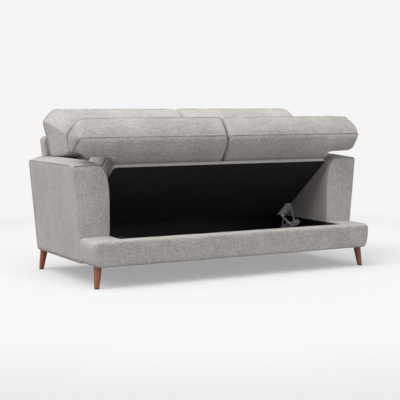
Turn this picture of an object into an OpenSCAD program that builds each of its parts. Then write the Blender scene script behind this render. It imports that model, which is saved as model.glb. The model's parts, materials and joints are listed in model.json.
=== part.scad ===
// Storage sofa with a lift up seat: two-seat sofa, seat raised
// Millimetres. X runs along the seat, the front faces -Y, Z is up
// The origin lies on the floor under the middle of the sofa

/* [Overall] */
// Width over the tops of the arms
sofa_w = 1882; // [1700:1:2300]
// Depth from the front rail to the back
sofa_d = 872; // [820:1:960]
// Height of the base's underside above the floor
leg_h = 118; // [90:1:180]
// Height of the upholstered base
base_h = 141; // [130:1:170]
// Height of the arms above the base's underside
arm_h = 532; // [500:1:580]
// Height of the back above the base's underside
back_h = 667; // [640:1:760]

/* [Arms] */
// Thickness of an arm at the bottom
arm_w = 172; // [150:1:210]
// How far an arm leans outwards from bottom to top
arm_flare = 47; // [20:1:70]
// Width of the curve over an arm's inner edge
arm_curve_w = 80; // [60:1:100]
// Height of the curve over an arm's inner edge
arm_curve_h = 220; // [150:1:260]
// Rise of the padding along the middle of an arm's top
arm_crown = 22; // [10:1:30]
// Rise of the padding at an arm's front
arm_front_crown = 4; // [0:1:10]
// Radius of an arm's outer top edge
arm_edge_r = 12; // [6:1:20]
// Rounding of the arm's front edge
arm_front_r = 16; // [8:1:20]
// Padding over an arm's timber
arm_pad = 20; // [12:1:26]

/* [Base] */
// How far the base stands out in front of the arms
base_step = 200; // [180:1:230]
// Front rail, front to back
rail_w = 59; // [45:1:80]
// How far the base's ends swell past the arms' bottoms
base_swell = 14; // [5:1:20]
// How far the base's ends draw in at the bottom
base_draw = 16; // [8:1:24]
// Radius of the base's top front edge
rail_edge_r = 16; // [8:1:24]
// Radius of the base's front corners, seen from above
rail_corner_r = 32; // [20:1:50]
// Padding over the base's timber
rail_pad = 14; // [8:1:18]
// Thickness of the frame timber
timber_t = 18; // [15:1:22]

/* [Back] */
// Thickness of the upholstered back
back_t = 60; // [56:1:80]
// How far each end of the back stops short of the arms' outsides
back_inset = 73; // [50:1:100]
// Thickness of the outside back behind the arms
back_panel_t = 20; // [16:1:24]
// Radius of the back's corners
back_r = 24; // [12:1:30]

/* [Storage box] */
// Thickness of the storage box's walls
wall_t = 10; // [8:1:12]
// Thickness of the storage box's floor
floor_t = 6; // [4:1:9]
// Height of the bearers under the floor
bearer_h = 12; // [10:1:16]
// Width of a bearer
bearer_w = 60; // [40:1:80]
// Thickness of the cloth under the base
dust_t = 1.5; // [1:0.5:2]

/* [Seat lid] */
// Gap between the lid and each arm
lid_gap = 17; // [17:1:24]
// Depth of the lid
lid_l = 606; // [606:1:618]
// Thickness of the lid board
board_t = 18; // [15:1:20]
// Thickness of the black lining under the lid
lining_t = 2; // [1:0.5:3]
// Thickness of the cloth over the lid's edges
band_t = 3; // [2:0.5:4]
// Angle of the raised lid
lid_tilt = 37.4; // [34:0.1:38]
// How far the raised lid's front edge lies in front of the arms
lid_front = 19; // [15:1:24]
// Height of the raised lid's front edge above the base
lid_rise = 376; // [372:1:382]

/* [Seat cushions] */
// Height of the lower seam above the lid's underside
seam_low = 107; // [100:1:115]
// Height of the upper seam above the lid's underside
seam_high = 236; // [225:1:240]
// How far the cushions reach in front of the lid
nose = 131; // [120:1:140]
// How far the lower seam draws in to the base, at the front
nose_taper = 76; // [60:1:90]
// The same at the cushions' outer ends
end_taper = 42; // [30:1:60]
// Reach of the cushions past the lid, behind the arms' fronts
ear_back = 3; // [0:1:4]
// How far the cushions' outer ends stop short of the arms' tops
ear_inset = 28; // [20:1:60]
// Gap between the cushions' bodies and the arms
body_gap = 22; // [18:1:30]
// Rise of the ears' undersides next to the arms
ear_lift = 28; // [10:1:34]
// The further rise at the ears' outer ends
ear_lift_out = 32; // [10:1:36]
// Drop of the upper seam at the ears' outer ends
ear_drop = 8; // [0:1:12]
// Rise of the cushions' crown above the upper seam
seat_crown = 14; // [8:1:14]
// Swell of a cushion's front between its seams
seat_swell = 12; // [6:1:14]
// Swell of a cushion's outer end between its seams
end_swell = 22; // [10:1:24]
// Radius of a cushion's corners
seat_r = 26; // [16:1:30]
// Radius of the ears' front corners
ear_r = 12; // [8:1:20]
// How far the crown's plateau draws in from the upper seam
crown_in = 44; // [30:1:50]
// Depth of a cushion's body behind the lid's front edge
body_l = 585; // [570:1:588]
// Gap between the two cushions of a pair
pair_gap = 2; // [1:0.5:4]

/* [Back cushions] */
// Length of a back cushion up its back face
pillow_h = 417; // [400:1:430]
// Thickness of a back cushion
pillow_t = 188; // [160:1:190]
// Lean of the back cushions from upright
pillow_lean = 9.1; // [7:0.1:11]
// How far the back cushions' ears stop short of the arms' tops
pillow_inset = 73; // [60:1:90]
// How far the back cushions reach below the arms' tops
pillow_sink = 118; // [105:1:130]
// Draw of an ear from its top to its bottom
pillow_draw = 38; // [20:1:50]
// Radius of a back cushion's outer top corner
pillow_top_r = 80; // [50:1:90]
// Radius of a back cushion's other corners
pillow_r = 14; // [10:1:24]
// Rounding of a back cushion's back edges
pillow_roll = 7; // [3:1:10]
// How much the ends draw in towards the front face
pillow_taper = 60; // [40:1:70]
// Drop of the front face below the top edge
pillow_drop = 117; // [90:1:120]
// Rise of the front face above the bottom edge
pillow_lift = 118; // [112:1:124]
// Gap between the bodies of the back cushions and the arms
pillow_gap = 10; // [6:1:16]

/* [Legs] */
// Radius of a leg at its top
leg_top_r = 22; // [18:1:26]
// Radius of a leg at its foot
leg_foot_r = 13.5; // [11:0.5:16]
// Sideways splay of a leg
leg_splay_x = 13; // [0:1:20]
// Splay of a leg to the front or the back
leg_splay_y = 15; // [0:1:20]
// Thickness of a foot's glide
glide_t = 4; // [3:1:6]
// Side of a leg's fixing plate
plate_w = 36; // [30:1:38]
// Thickness of a leg's fixing plate
plate_t = 2; // [1.5:0.5:3]
// Radius of a leg's bolt
bolt_r = 4; // [3:0.5:5]
// Length of a leg's bolt
bolt_l = 62; // [50:1:70]

/* [Lift mechanism] */
// Thickness of the mechanism's steel
steel_t = 3; // [2:0.5:3.5]
// Width of a link
link_w = 16; // [12:1:18]
// Width of the plate on the box's side
base_plate_w = 36; // [34:1:40]
// Depth of the bracket under the lid
bracket_d = 31; // [30:1:33]
// Width of the bracket's flange on the lid
flange_w = 34; // [28:1:40]
// Radius of a pivot pin
pin_r = 4; // [3:0.5:4.5]
// Clearance round a pin
pin_fit = 0.2; // [0.1:0.05:0.3]
// Radius of the strut's tube
tube_r = 8; // [7:0.5:8.5]
// Radius of the strut's rod
rod_r = 3.5; // [2.5:0.5:4]
// Radius of the strut's eyes
eye_r = 8; // [7:0.5:9]
// Thickness of the strut's eyes
eye_t = 6; // [5:0.5:7]
// Rear pivot behind the arms' fronts
rear_pivot_y = 465; // [462:1:468]
// Rear pivot above the base's underside
rear_pivot_z = 58; // [55:1:61]
// Front pivot behind the arms' fronts
front_pivot_y = 315; // [312:1:318]
// Front pivot above the base's underside
front_pivot_z = 105; // [102:1:108]
// Strut pivot behind the front pivot
strut_pivot_y = 20; // [18:1:24]
// Strut pivot below the front pivot
strut_pivot_z = 18; // [17:1:22]
// Lid's rear pivot behind the lid's front edge
lid_rear_v = 596; // [594:1:597]
// Lid's rear pivot below the lid's underside
lid_rear_w = 17.5; // [16.5:0.5:18.5]
// Lid's front pivot behind the lid's front edge
lid_front_v = 496; // [493:1:499]
// Lid's front pivot below the lid's underside
lid_front_w = 21.2; // [20:0.1:22]
// Gap between turning plates
play = 1.5; // [1:0.1:1.6]
// Gap between a link and the bracket under the lid
bracket_play = 2.5; // [2:0.1:2.6]
// Reach of the bracket past its pivots
bracket_lip = 17; // [15:1:18]
// Thickness of a pin's or screw's head
head_t = 1; // [0.8:0.1:1]
// How far a pin's head stands out round the pin
head_lip = 2; // [1:0.5:3]
// Radius of a screw
screw_r = 2; // [1.5:0.25:2.5]
// Radius of a screw's head
screw_head_r = 5; // [4:0.5:5.5]
// Length of a screw
screw_l = 12; // [9:1:12]

/* [Lid rests] */
// Width of a corner block under the lid
rest_w = 46; // [40:1:60]
// Height of a corner block
rest_h = 26; // [20:1:40]
// Radius of a rubber bumper
bumper_r = 9; // [7:1:12]
// Height of a rubber bumper below the base's top
bumper_t = 5; // [4:1:6]
// Gap between the closed lid and the base's top
lid_clear = 1; // [1:0.5:2]
// Gap between the closed lid and its bumpers
rest_gap = 0.1; // [0:0.1:0.3]

/* [Hidden] */

fabric = "#b3aea8";
timber = "#c9a878";
black = "#1c1b1b";
leg_wood = "#96603f";
zinc = "#b9bcc0";

// One overrun for every cut
over = 1;
// Gap between a loose pin's end and what it would meet
pin_gap = 0.3;
// Clearance at each end of a leg's bolt, and the step round a foot's glide
end_play = 1;

// Levels and places shared by the pieces
base_top = leg_h + base_h;
arm_top = leg_h + arm_h;
back_top = leg_h + back_h;
rail_front = -sofa_d / 2;
rail_back = rail_front + rail_w;
arm_front = rail_front + base_step;
back_y = sofa_d / 2;
back_front = back_y - back_t;
arm_back = back_y - back_panel_t;
arm_d = arm_back - arm_front;
arm_out = sofa_w / 2;
arm_foot_out = arm_out - arm_flare;
seat_half = arm_foot_out - arm_w;
wall_in = seat_half - wall_t;

// Outward lean of an arm's outside at a height above the base's underside
function flare(h) = arm_flare * h / arm_h;

// Loft: closed skin through rings of equal count, each a list of points.
// The rings run anticlockwise when seen from the last ring's side
function side_faces(n, m) = [
    for (i = [0:m - 2], j = [0:n - 1])
        let (a = i * n + j, b = i * n + (j + 1) % n, c = b + n, d = a + n)
            each [[a, d, c], [a, c, b]]
];
function cap_faces(n, first, centre, up) = [
    for (j = [0:n - 1])
        let (a = first + j, b = first + (j + 1) % n)
            up ? [centre, b, a] : [centre, a, b]
];
module loft(rings, low, high) {
    n = len(rings[0]);
    m = len(rings);
    points = concat([for (r = rings) each r], [low, high]);
    polyhedron(
        points = points,
        faces = concat(
            side_faces(n, m),
            cap_faces(n, 0, n * m, false),
            cap_faces(n, n * (m - 1), n * m + 1, true)
        ),
        convexity = 6
    );
}

module pair() {
    children();
    mirror([1, 0, 0]) children();
}

// Outline of a cushion with one ear, in the plane x, v. The ear reaches
// from x_end at v_front to v_ear, the body from x_side to x_in and to v_rear
corner_steps = 4;
edge_steps = 4;
function arc(cx, cv, r, from, turn) = [
    for (k = [0:corner_steps])
        let (a = from + turn * k / corner_steps)
            [cx + r * cos(a), cv + r * sin(a)]
];
function edge(p, q, swell) = [
    for (k = [1:edge_steps])
        let (t = k / (edge_steps + 1), s = 4 * t * (1 - t))
            p + (q - p) * t + swell * s
];
function ear_outline(x_end, x_side, x_in, v_front, v_ear, v_rear, r, r_end, swell, out) =
    let (
        small = r / 2,
        a1 = arc(x_end + r_end, v_front + r_end, r_end, 180, 90),
        a2 = arc(x_in - small, v_front + small, small, 270, 90),
        a3 = arc(x_in - r, v_rear - r, r, 0, 90),
        a4 = arc(x_side + r, v_rear - r, r, 90, 90),
        a5 = arc(x_side - small, v_ear + small, small, 0, -90),
        a6 = arc(x_end + small, v_ear - small, small, 90, 90),
        last = corner_steps
    )
    concat(
        a1, edge(a1[last], a2[0], [0, -swell]),
        a2, edge(a2[last], a3[0], [0, 0]),
        a3, edge(a3[last], a4[0], [0, swell / 2]),
        a4, edge(a4[last], a5[0], [-swell / 2, 0]),
        a5, edge(a5[last], a6[0], [0, 0]),
        a6, edge(a6[last], a1[0], [-out, 0])
    );

// Base
base_out_low = arm_foot_out - base_draw;
base_out_mid = arm_foot_out + base_swell;
swell_share = 0.78;
module base_end_profile() {
    h_mid = base_h * swell_share;
    steps = 10;
    right = concat(
        [for (k = [0:steps])
            let (a = 90 * k / steps)
                [base_out_low + (base_out_mid - base_out_low) * sin(a), h_mid * (1 - cos(a))]],
        [for (k = [1:steps])
            let (a = 90 * k / steps)
                [base_out_mid - (base_out_mid - base_out_low) * (1 - cos(a)),
                 h_mid + (base_h - h_mid) * sin(a)]]
    );
    left = [for (k = [len(right) - 1:-1:0]) [-right[k][0], right[k][1]]];
    polygon(concat(right, left));
}
module base_front_profile() {
    steps = 8;
    arc_points = [
        for (k = [0:steps])
            let (a = 90 + 90 * k / steps)
                [rail_edge_r + rail_edge_r * cos(a), base_h - rail_edge_r + rail_edge_r * sin(a)]
    ];
    polygon(concat([[base_step, 0], [base_step, base_h]], arc_points, [[0, 0]]));
}
module base_plan() {
    steps = 8;
    half = base_out_mid + over;
    right = [
        for (k = [0:steps])
            let (a = -90 + 90 * k / steps)
                [half - rail_corner_r + rail_corner_r * cos(a),
                 rail_corner_r + rail_corner_r * sin(a)]
    ];
    left = [for (k = [steps:-1:0]) [-right[k][0], right[k][1]]];
    polygon(concat(right, [[half, base_step], [-half, base_step]], left));
}
module base_block() {
    intersection() {
        translate([0, rail_front + base_step, leg_h])
            rotate([90, 0, 0])
                linear_extrude(base_step) base_end_profile();
        translate([-arm_out, rail_front, leg_h])
            rotate([90, 0, 90])
                linear_extrude(sofa_w) base_front_profile();
        translate([0, rail_front, leg_h])
            linear_extrude(base_h) base_plan();
    }
}

block_w = 46;
block_out = base_out_low - rail_pad / 2;
board_front = rail_front + rail_pad;
frame_low = leg_h + dust_t;
frame_top = base_top - rail_pad;
front_leg_share = 0.68;
front_leg_x = base_out_low - leg_top_r;
front_leg_y = arm_front - base_step * front_leg_share;
module front_leg_spots() {
    pair() translate([front_leg_x, front_leg_y, 0]) children();
}
module rail_timber() {
    board_h = frame_top - frame_low;
    translate([-block_out, board_front, frame_low])
        cube([2 * block_out, timber_t, board_h]);
    pair() {
        translate([block_out - block_w, board_front, frame_low])
            cube([block_w, arm_front - board_front - over, board_h]);
        translate([seat_half + rail_pad, board_front, frame_top - timber_t])
            cube([block_out - seat_half - rail_pad, arm_front - board_front - over, timber_t]);
    }
}
module bolt_hole() {
    translate([0, 0, leg_h - over])
        cylinder(h = bolt_l / 2 + over, r = bolt_r, $fn = 24);
}
module plate_pocket() {
    translate([-plate_w / 2, -plate_w / 2, leg_h - over])
        cube([plate_w, plate_w, plate_t + over]);
}
module front_rail_frame() color(timber)
    difference() {
        rail_timber();
        front_leg_spots() {
            bolt_hole();
            plate_pocket();
        }
    }
module front_rail_cover() color(fabric)
    difference() {
        base_block();
        translate([-seat_half, rail_back, leg_h - over])
            cube([2 * seat_half, base_step, base_h + 2 * over]);
        rail_timber();
        front_leg_spots() {
            plate_pocket();
            bolt_hole();
        }
    }

// Arms
curve_power = 2.6;
arm_steps = 10;
crown_ramp_share = 0.26;
function arm_crown_at(y) =
    arm_front_crown
    + (arm_crown - arm_front_crown) * sin(90 * min(1, (y - arm_front) / (arm_d * crown_ramp_share)));
function arm_outline(y, inset) =
    let (
        inner = [for (k = [0:arm_steps])
            let (a = 90 * k / arm_steps)
                [seat_half + arm_curve_w * (1 - pow(cos(a), 2 / curve_power)),
                 arm_h - arm_curve_h + arm_curve_h * pow(sin(a), 2 / curve_power)]],
        x_last = seat_half + arm_curve_w,
        x_edge = arm_out - arm_edge_r,
        top = [for (k = [1:edge_steps]) [x_last + (x_edge - x_last) * k / (edge_steps + 1), arm_h]],
        outer = [for (k = [0:corner_steps])
            let (a = 90 - 90 * k / corner_steps)
                [x_edge + arm_edge_r * cos(a), arm_h - arm_edge_r + arm_edge_r * sin(a)]],
        flat = concat([[seat_half, 0]], inner, top, outer, [[arm_foot_out, 0]])
    )
    [for (p = flat)
        let (
            share = (p[0] - seat_half) / (arm_out - seat_half),
            high = pow(p[1] / arm_h, 8),
            x = p[0] + inset / 2 * (share < 0.1 ? 1 : share > 0.6 ? -1 : 0),
            z = p[1] + high * (arm_crown_at(y) * sin(180 * share) - inset)
        )
            [x, y, leg_h + z]];
module arm_body() {
    round_steps = 3;
    stations = concat(
        [for (k = [round_steps:-1:0])
            let (a = 90 * k / round_steps)
                [arm_front + arm_front_r * (1 - sin(a)), arm_front_r * (1 - cos(a))]],
        [for (k = [1:3])
            [arm_front + arm_front_r + (arm_d * crown_ramp_share - arm_front_r) * k / 3, 0]],
        [[(arm_front + arm_back) / 2, 0], [arm_back, 0]]
    );
    // Seen from behind the points run anticlockwise
    rings = [for (s = stations) arm_outline(s[0], s[1])];
    middle = [(seat_half + arm_foot_out) / 2, 0, leg_h + arm_h / 2];
    loft(rings, middle + [0, arm_front, 0], middle + [0, arm_back, 0]);
}
back_leg_x = arm_foot_out - leg_top_r - plate_t;
back_leg_y = arm_back - leg_top_r - 2 * plate_t;
module back_leg_spot() translate([back_leg_x, back_leg_y, 0]) children();
module arm_timber() {
    low = frame_low - leg_h;
    high = arm_h - 2 * arm_pad;
    first = arm_front + arm_pad + arm_front_r;
    last = arm_back - arm_pad;
    x_low = seat_half + arm_pad;
    for (y = [first, last - timber_t])
        translate([0, y + timber_t, leg_h])
            rotate([90, 0, 0])
                linear_extrude(timber_t)
                    polygon([
                        [x_low, low],
                        [arm_foot_out + flare(low) - arm_pad / 2, low],
                        [arm_foot_out + flare(high) - arm_pad, high],
                        [seat_half + arm_curve_w, high],
                        [x_low, arm_h - arm_curve_h]
                    ]);
    translate([seat_half + arm_curve_w, first, frame_low])
        cube([timber_t, last - first, high - low]);
    translate([x_low, first, frame_low])
        cube([arm_foot_out - arm_pad / 2 - x_low, last - first, timber_t]);
    translate([back_leg_x - plate_w / 2, back_leg_y - plate_w / 2, frame_low])
        cube([plate_w, plate_w, bolt_l]);
}
module arm_frame() color(timber)
    difference() {
        arm_timber();
        back_leg_spot() {
            bolt_hole();
            plate_pocket();
        }
    }
module arm_cover() color(fabric)
    difference() {
        arm_body();
        arm_timber();
        back_leg_spot() {
            bolt_hole();
            plate_pocket();
        }
    }
module arm_frame_right() arm_frame();
module arm_frame_left() mirror([1, 0, 0]) arm_frame();
module arm_cover_right() arm_cover();
module arm_cover_left() mirror([1, 0, 0]) arm_cover();

// Back
back_out = arm_out - back_inset;
back_low_out = back_out - flare(back_top - arm_top - arm_crown);
board_edge_share = 0.18;
ear_floor = arm_top + arm_crown;
function mirrored(points) =
    concat(points, [for (k = [len(points) - 1:-1:0]) [-points[k][0], points[k][1]]]);
function back_shoulder(r) = [
    for (k = [0:corner_steps * 2])
        let (a = 90 * k / (corner_steps * 2))
            [back_out - r + r * cos(a), back_h - r + r * sin(a)]
];
module back_front_outline() {
    polygon(mirrored(concat(
        [[seat_half, 0], [seat_half, ear_floor - leg_h], [back_low_out, ear_floor - leg_h]],
        back_shoulder(back_r)
    )));
}
module back_rear_outline() {
    polygon(mirrored(concat(
        [[arm_foot_out, 0], [arm_out, arm_h - arm_edge_r], [arm_out - arm_edge_r, arm_h],
         [back_low_out, arm_h + arm_crown]],
        back_shoulder(back_r)
    )));
}
board_y = back_y - back_panel_t - timber_t;
board_edge = (back_top - ear_floor) * board_edge_share;
module back_board() {
    translate([0, board_y + timber_t, leg_h])
        rotate([90, 0, 0])
            linear_extrude(timber_t)
                polygon(mirrored([
                    [seat_half - arm_pad, frame_low - leg_h],
                    [seat_half - arm_pad, ear_floor + board_edge - leg_h],
                    [back_low_out - board_edge, ear_floor + board_edge - leg_h],
                    [back_out - board_edge, back_h - 2 * board_edge],
                    [back_out - 2 * board_edge, back_h - board_edge]
                ]));
}
module back_frame() color(timber) back_board();
module back_cover() color(fabric)
    difference() {
        union() {
            translate([0, back_y, leg_h])
                rotate([90, 0, 0])
                    linear_extrude(back_t) back_front_outline();
            translate([0, back_y, leg_h])
                rotate([90, 0, 0])
                    linear_extrude(back_panel_t) back_rear_outline();
        }
        back_board();
    }

// Storage box
rear_rail_y = back_front - timber_t;
floor_z = frame_low + bearer_h;
floor_top = floor_z + floor_t;
box_front = rail_back + wall_t;
box_back = rear_rail_y - wall_t;
wall_h = base_top - frame_low;
bearer_shares = [0.12, 0.5, 0.88];
module base_rear_rail() color(timber)
    translate([-seat_half, rear_rail_y, frame_low])
        cube([2 * seat_half, timber_t, wall_h]);
module storage_floor() color(black)
    translate([-wall_in, box_front, floor_z])
        cube([2 * wall_in, box_back - box_front, floor_t]);
module storage_wall() color(black)
    difference() {
        translate([wall_in, rail_back, frame_low])
            cube([wall_t, rear_rail_y - rail_back, wall_h]);
        base_screw_spots()
            cylinder(h = screw_l, r = screw_r, $fn = 16);
    }
module storage_wall_right() storage_wall();
module storage_wall_left() mirror([1, 0, 0]) storage_wall();
module storage_wall_front() color(black)
    translate([-wall_in, rail_back, frame_low])
        cube([2 * wall_in, wall_t, wall_h]);
module storage_wall_back() color(black)
    translate([-wall_in, box_back, frame_low])
        cube([2 * wall_in, wall_t, wall_h]);
module floor_bearers() color(timber)
    for (share = bearer_shares)
        translate([-wall_in + (2 * wall_in - bearer_w) * share, box_front, frame_low])
            cube([bearer_w, box_back - box_front, bearer_h]);
module dust_cover() color(black)
    translate([-seat_half, rail_back, leg_h])
        cube([2 * seat_half, back_front - rail_back, dust_t]);

// Legs
leg_l = norm([leg_splay_x, leg_splay_y, leg_h]);
module leg(to_back) {
    turn = atan2(to_back ? -leg_splay_y : leg_splay_y, -leg_splay_x);
    lean = acos(leg_h / leg_l);
    slope = (leg_top_r - leg_foot_r) / leg_l;
    foot = [leg_splay_x, to_back ? leg_splay_y : -leg_splay_y, 0];
    spare = leg_top_r;
    difference() {
        intersection() {
            translate(foot)
                rotate([0, lean, turn])
                    translate([0, 0, -spare])
                        cylinder(h = leg_l + 2 * spare, r1 = leg_foot_r - spare * slope,
                                 r2 = leg_top_r + spare * slope, $fn = 48);
            translate([-leg_h, -leg_h, glide_t])
                cube([2 * leg_h, 2 * leg_h, leg_h - glide_t]);
        }
        translate([0, 0, leg_h - bolt_l / 2])
            cylinder(h = bolt_l, r = bolt_r, $fn = 24);
    }
}
module front_leg_spot() translate([front_leg_x, front_leg_y, 0]) children();
module leg_front_right() color(leg_wood) front_leg_spot() leg(false);
module leg_front_left() mirror([1, 0, 0]) leg_front_right();
module leg_back_right() color(leg_wood) back_leg_spot() leg(true);
module leg_back_left() mirror([1, 0, 0]) leg_back_right();
module leg_spots() {
    front_leg_spots() children();
    pair() back_leg_spot() children();
}
module leg_plates() color(zinc)
    leg_spots()
        difference() {
            translate([-plate_w / 2, -plate_w / 2, leg_h])
                cube([plate_w, plate_w, plate_t]);
            bolt_hole();
        }
module leg_bolts() color(zinc)
    leg_spots()
        translate([0, 0, leg_h - bolt_l / 2 + end_play])
            cylinder(h = bolt_l - 2 * end_play, r = bolt_r, $fn = 24);
module foot_glides() color(black)
    pair() {
        front_leg_spot() translate([leg_splay_x, -leg_splay_y, 0])
            cylinder(h = glide_t, r = leg_foot_r - end_play, $fn = 32);
        back_leg_spot() translate([leg_splay_x, leg_splay_y, 0])
            cylinder(h = glide_t, r = leg_foot_r - end_play, $fn = 32);
    }

// Seat lid, in its own frame: v runs back along the underside, w up from it
lid_half = seat_half - lid_gap;
lid_y = arm_front - lid_front;
lid_z = base_top + lid_rise;
lid_top = lining_t + board_t;
module on_lid() translate([0, lid_y, lid_z]) rotate([-lid_tilt, 0, 0]) children();
function lid_point(v, w) = [
    lid_y + v * cos(lid_tilt) + w * sin(lid_tilt),
    lid_z - v * sin(lid_tilt) + w * cos(lid_tilt)
];
module lid_sheet(w, t) {
    difference() {
        on_lid()
            translate([-lid_half + band_t, band_t, w])
                cube([2 * (lid_half - band_t), lid_l - 2 * band_t, t]);
        bracket_screw_spots()
            translate([0, 0, -over])
                cylinder(h = screw_l, r = screw_r, $fn = 16);
    }
}
module lid_lining() color(black) lid_sheet(0, lining_t);
module lid_board() color(timber) lid_sheet(lining_t, board_t);
module lid_edge_band() color(fabric)
    on_lid()
        difference() {
            translate([-lid_half, 0, 0])
                cube([2 * lid_half, lid_l, lid_top]);
            translate([-lid_half + band_t, band_t, -over])
                cube([2 * (lid_half - band_t), lid_l - 2 * band_t, lid_top + 2 * over]);
        }

// Seat cushions
ear_out = arm_out - ear_inset;
taper_steps = 4;
belly_steps = 5;
crown_steps = 3;
small_taper_share = 0.2;
corner_swell_share = 0.6;
function limit(a) = min(1, max(0, a));
function smooth(a) = let (t = limit(a)) t * t * (3 - 2 * t);
function seat_ring(w, taper, swell, crown, lift) =
    let (
        small = end_taper * small_taper_share,
        drop = crown_in * crown,
        out = end_swell * swell,
        points = ear_outline(
            -ear_out + end_taper * taper + drop - out * corner_swell_share,
            -seat_half + body_gap + small * taper + drop,
            -pair_gap / 2 - small * taper - drop,
            -nose + nose_taper * taper + drop - seat_swell / 2 * swell,
            ear_back - small * 2 * taper - drop,
            body_l - small * taper - drop,
            seat_r, ear_r, seat_swell / 2 * swell, out * (1 - corner_swell_share)
        )
    )
    [for (p = points)
        let (
            past = limit((-p[0] - seat_half) / (ear_out - seat_half)),
            ear = limit((-p[0] - seat_half + body_gap) / (seat_r / 2)),
            back = smooth((p[1] + nose / 2) / (nose / 2)),
            rise = lift * ear * back * (ear_lift + ear_lift_out * past),
            fall = (1 - lift) * ear_drop * past * past * limit((w - seam_low) / (seam_high - seam_low))
        )
            [p[0], p[1], w + rise - fall]];
seat_rings = concat(
    [for (k = [0:taper_steps - 1])
        let (t = k / taper_steps)
            seat_ring(lid_top + (seam_low - lid_top) * t, 1 - sin(90 * t), 0, 0, 1 - t)],
    [for (k = [0:belly_steps])
        let (t = k / belly_steps)
            seat_ring(seam_low + (seam_high - seam_low) * t, 0, sin(180 * t), 0, 0)],
    [for (k = [1:crown_steps])
        let (a = 90 * k / crown_steps)
            seat_ring(seam_high + seat_crown * sin(a), 0, 0, 1 - cos(a), 0)]
);
seat_kernel = [-seat_half * 0.85, -nose * 0.18];
module seat_cushion() color(fabric)
    on_lid()
        loft(
            seat_rings,
            [seat_kernel[0], seat_kernel[1], lid_top],
            [seat_kernel[0], seat_kernel[1], seam_high + seat_crown]
        );
module seat_cushion_left() seat_cushion();
module seat_cushion_right() mirror([1, 0, 0]) seat_cushion();

// Back cushions, in a leaning frame: v runs down the back face from the
// bottom edge's level, w runs back from the back face
pillow_low = arm_top - pillow_sink;
pillow_y = back_front - tan(pillow_lean) * (back_top - pillow_low);
pillow_out = arm_out - pillow_inset;
pillow_steps = 9;
roll_share = 0.04;
ear_low = (ear_floor - pillow_low) / cos(pillow_lean);
function pillow_ring(t) =
    let (
        q = pillow_t * t,
        roll = t < roll_share ? pillow_roll : 0,
        high = pillow_h - pillow_drop * pow(t, 2.2) - roll,
        low = pillow_lift * pow(t, 1.35) + roll,
        ear = ear_low - q * tan(pillow_lean) + pillow_lift / 4 * pow(t, 4),
        points = ear_outline(
            -pillow_out + pillow_taper * pow(t, 2.5) + roll,
            -seat_half + pillow_gap + pillow_draw / 2 * pow(t, 2) + roll,
            -pair_gap / 2 - pillow_gap * pow(t, 3),
            -high, -ear, -low, 2 * pillow_r, pillow_top_r - pillow_drop * pow(t, 3) / 4, 0, 0
        )
    )
    [for (p = points)
        let (
            past = limit((-p[0] - seat_half) / (pillow_out - seat_half)),
            up = limit((-p[1] - ear) / (pillow_h - pillow_top_r - ear_low))
        )
            [p[0] + pillow_draw * past * (1 - up), p[1], -q]];
module back_cushion() color(fabric)
    translate([0, pillow_y, pillow_low])
        rotate([-90 - pillow_lean, 0, 0])
            loft(
                [for (k = [pillow_steps:-1:0]) pillow_ring(k / pillow_steps)],
                [-seat_half / 2, -(ear_low + pillow_h) / 2, -pillow_t],
                [-seat_half / 2, -(ear_low + pillow_h) / 2, 0]
            );
module back_cushion_left() back_cushion();
module back_cushion_right() mirror([1, 0, 0]) back_cushion();

// Lift mechanism, the right side; the left is its mirror image
plate_x = wall_in - steel_t;
link_x = plate_x - play - steel_t;
bracket_x = link_x - bracket_play - steel_t;
strut_x = bracket_x - play - tube_r;
rear_pivot = [arm_front + rear_pivot_y, leg_h + rear_pivot_z];
front_pivot = [arm_front + front_pivot_y, leg_h + front_pivot_z];
strut_pivot = front_pivot + [strut_pivot_y, -strut_pivot_z];
lid_rear_pivot = lid_point(lid_rear_v, -lid_rear_w);
lid_front_pivot = lid_point(lid_front_v, -lid_front_w);
head_r = pin_r + head_lip;

module side_plate(x, t) translate([x, 0, 0]) rotate([90, 0, 90]) linear_extrude(t) children();
bar_steps = 16;
function bar_end(p, r, from) = [
    for (k = [0:bar_steps])
        let (a = from + 180 * k / bar_steps)
            p + r * [cos(a), sin(a)]
];
module bar(p, q, w) {
    turn = atan2(q[1] - p[1], q[0] - p[0]);
    polygon(concat(bar_end(p, w / 2, turn + 90), bar_end(q, w / 2, turn - 90)));
}
module pin_hole(p, fit = pin_fit) translate(p) circle(r = pin_r + fit, $fn = 32);
module pin(p, x, l, r) translate([x, p[0], p[1]]) rotate([0, 90, 0]) cylinder(h = l, r = r, $fn = 32);

plate_way = (rear_pivot - front_pivot) / norm(rear_pivot - front_pivot);
plate_front = front_pivot - plate_way * base_plate_w * 0.75;
plate_holes = [
    plate_front,
    front_pivot + plate_way * base_plate_w * 1.6,
    rear_pivot - plate_way * base_plate_w * 0.9
];
module base_screw_spots() {
    for (p = plate_holes)
        translate([plate_x - head_t, p[0], p[1]]) rotate([0, 90, 0]) children();
}
module lift_base() color(zinc)
    side_plate(plate_x, steel_t)
        difference() {
            bar(plate_front, rear_pivot, base_plate_w);
            for (p = [front_pivot, rear_pivot, strut_pivot]) pin_hole(p, 0);
            for (p = plate_holes) translate(p) circle(r = screw_r, $fn = 16);
        }
module lift_base_right() lift_base();
module lift_base_left() mirror([1, 0, 0]) lift_base();
module lift_base_screws() color(zinc)
    pair() base_screw_spots() {
        cylinder(h = head_t, r = screw_head_r, $fn = 24);
        cylinder(h = screw_l - over, r = screw_r, $fn = 16);
    }
module base_rivets() color(zinc)
    pair() {
        for (p = [front_pivot, rear_pivot]) {
            pin(p, link_x - play, wall_in - link_x + play, pin_r);
            pin(p, link_x - play, head_t, head_r);
        }
        pin(strut_pivot, strut_x - eye_t / 2 - play, wall_in - strut_x + eye_t / 2 + play, pin_r);
        pin(strut_pivot, strut_x - eye_t / 2 - play, head_t, head_r);
    }

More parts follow.
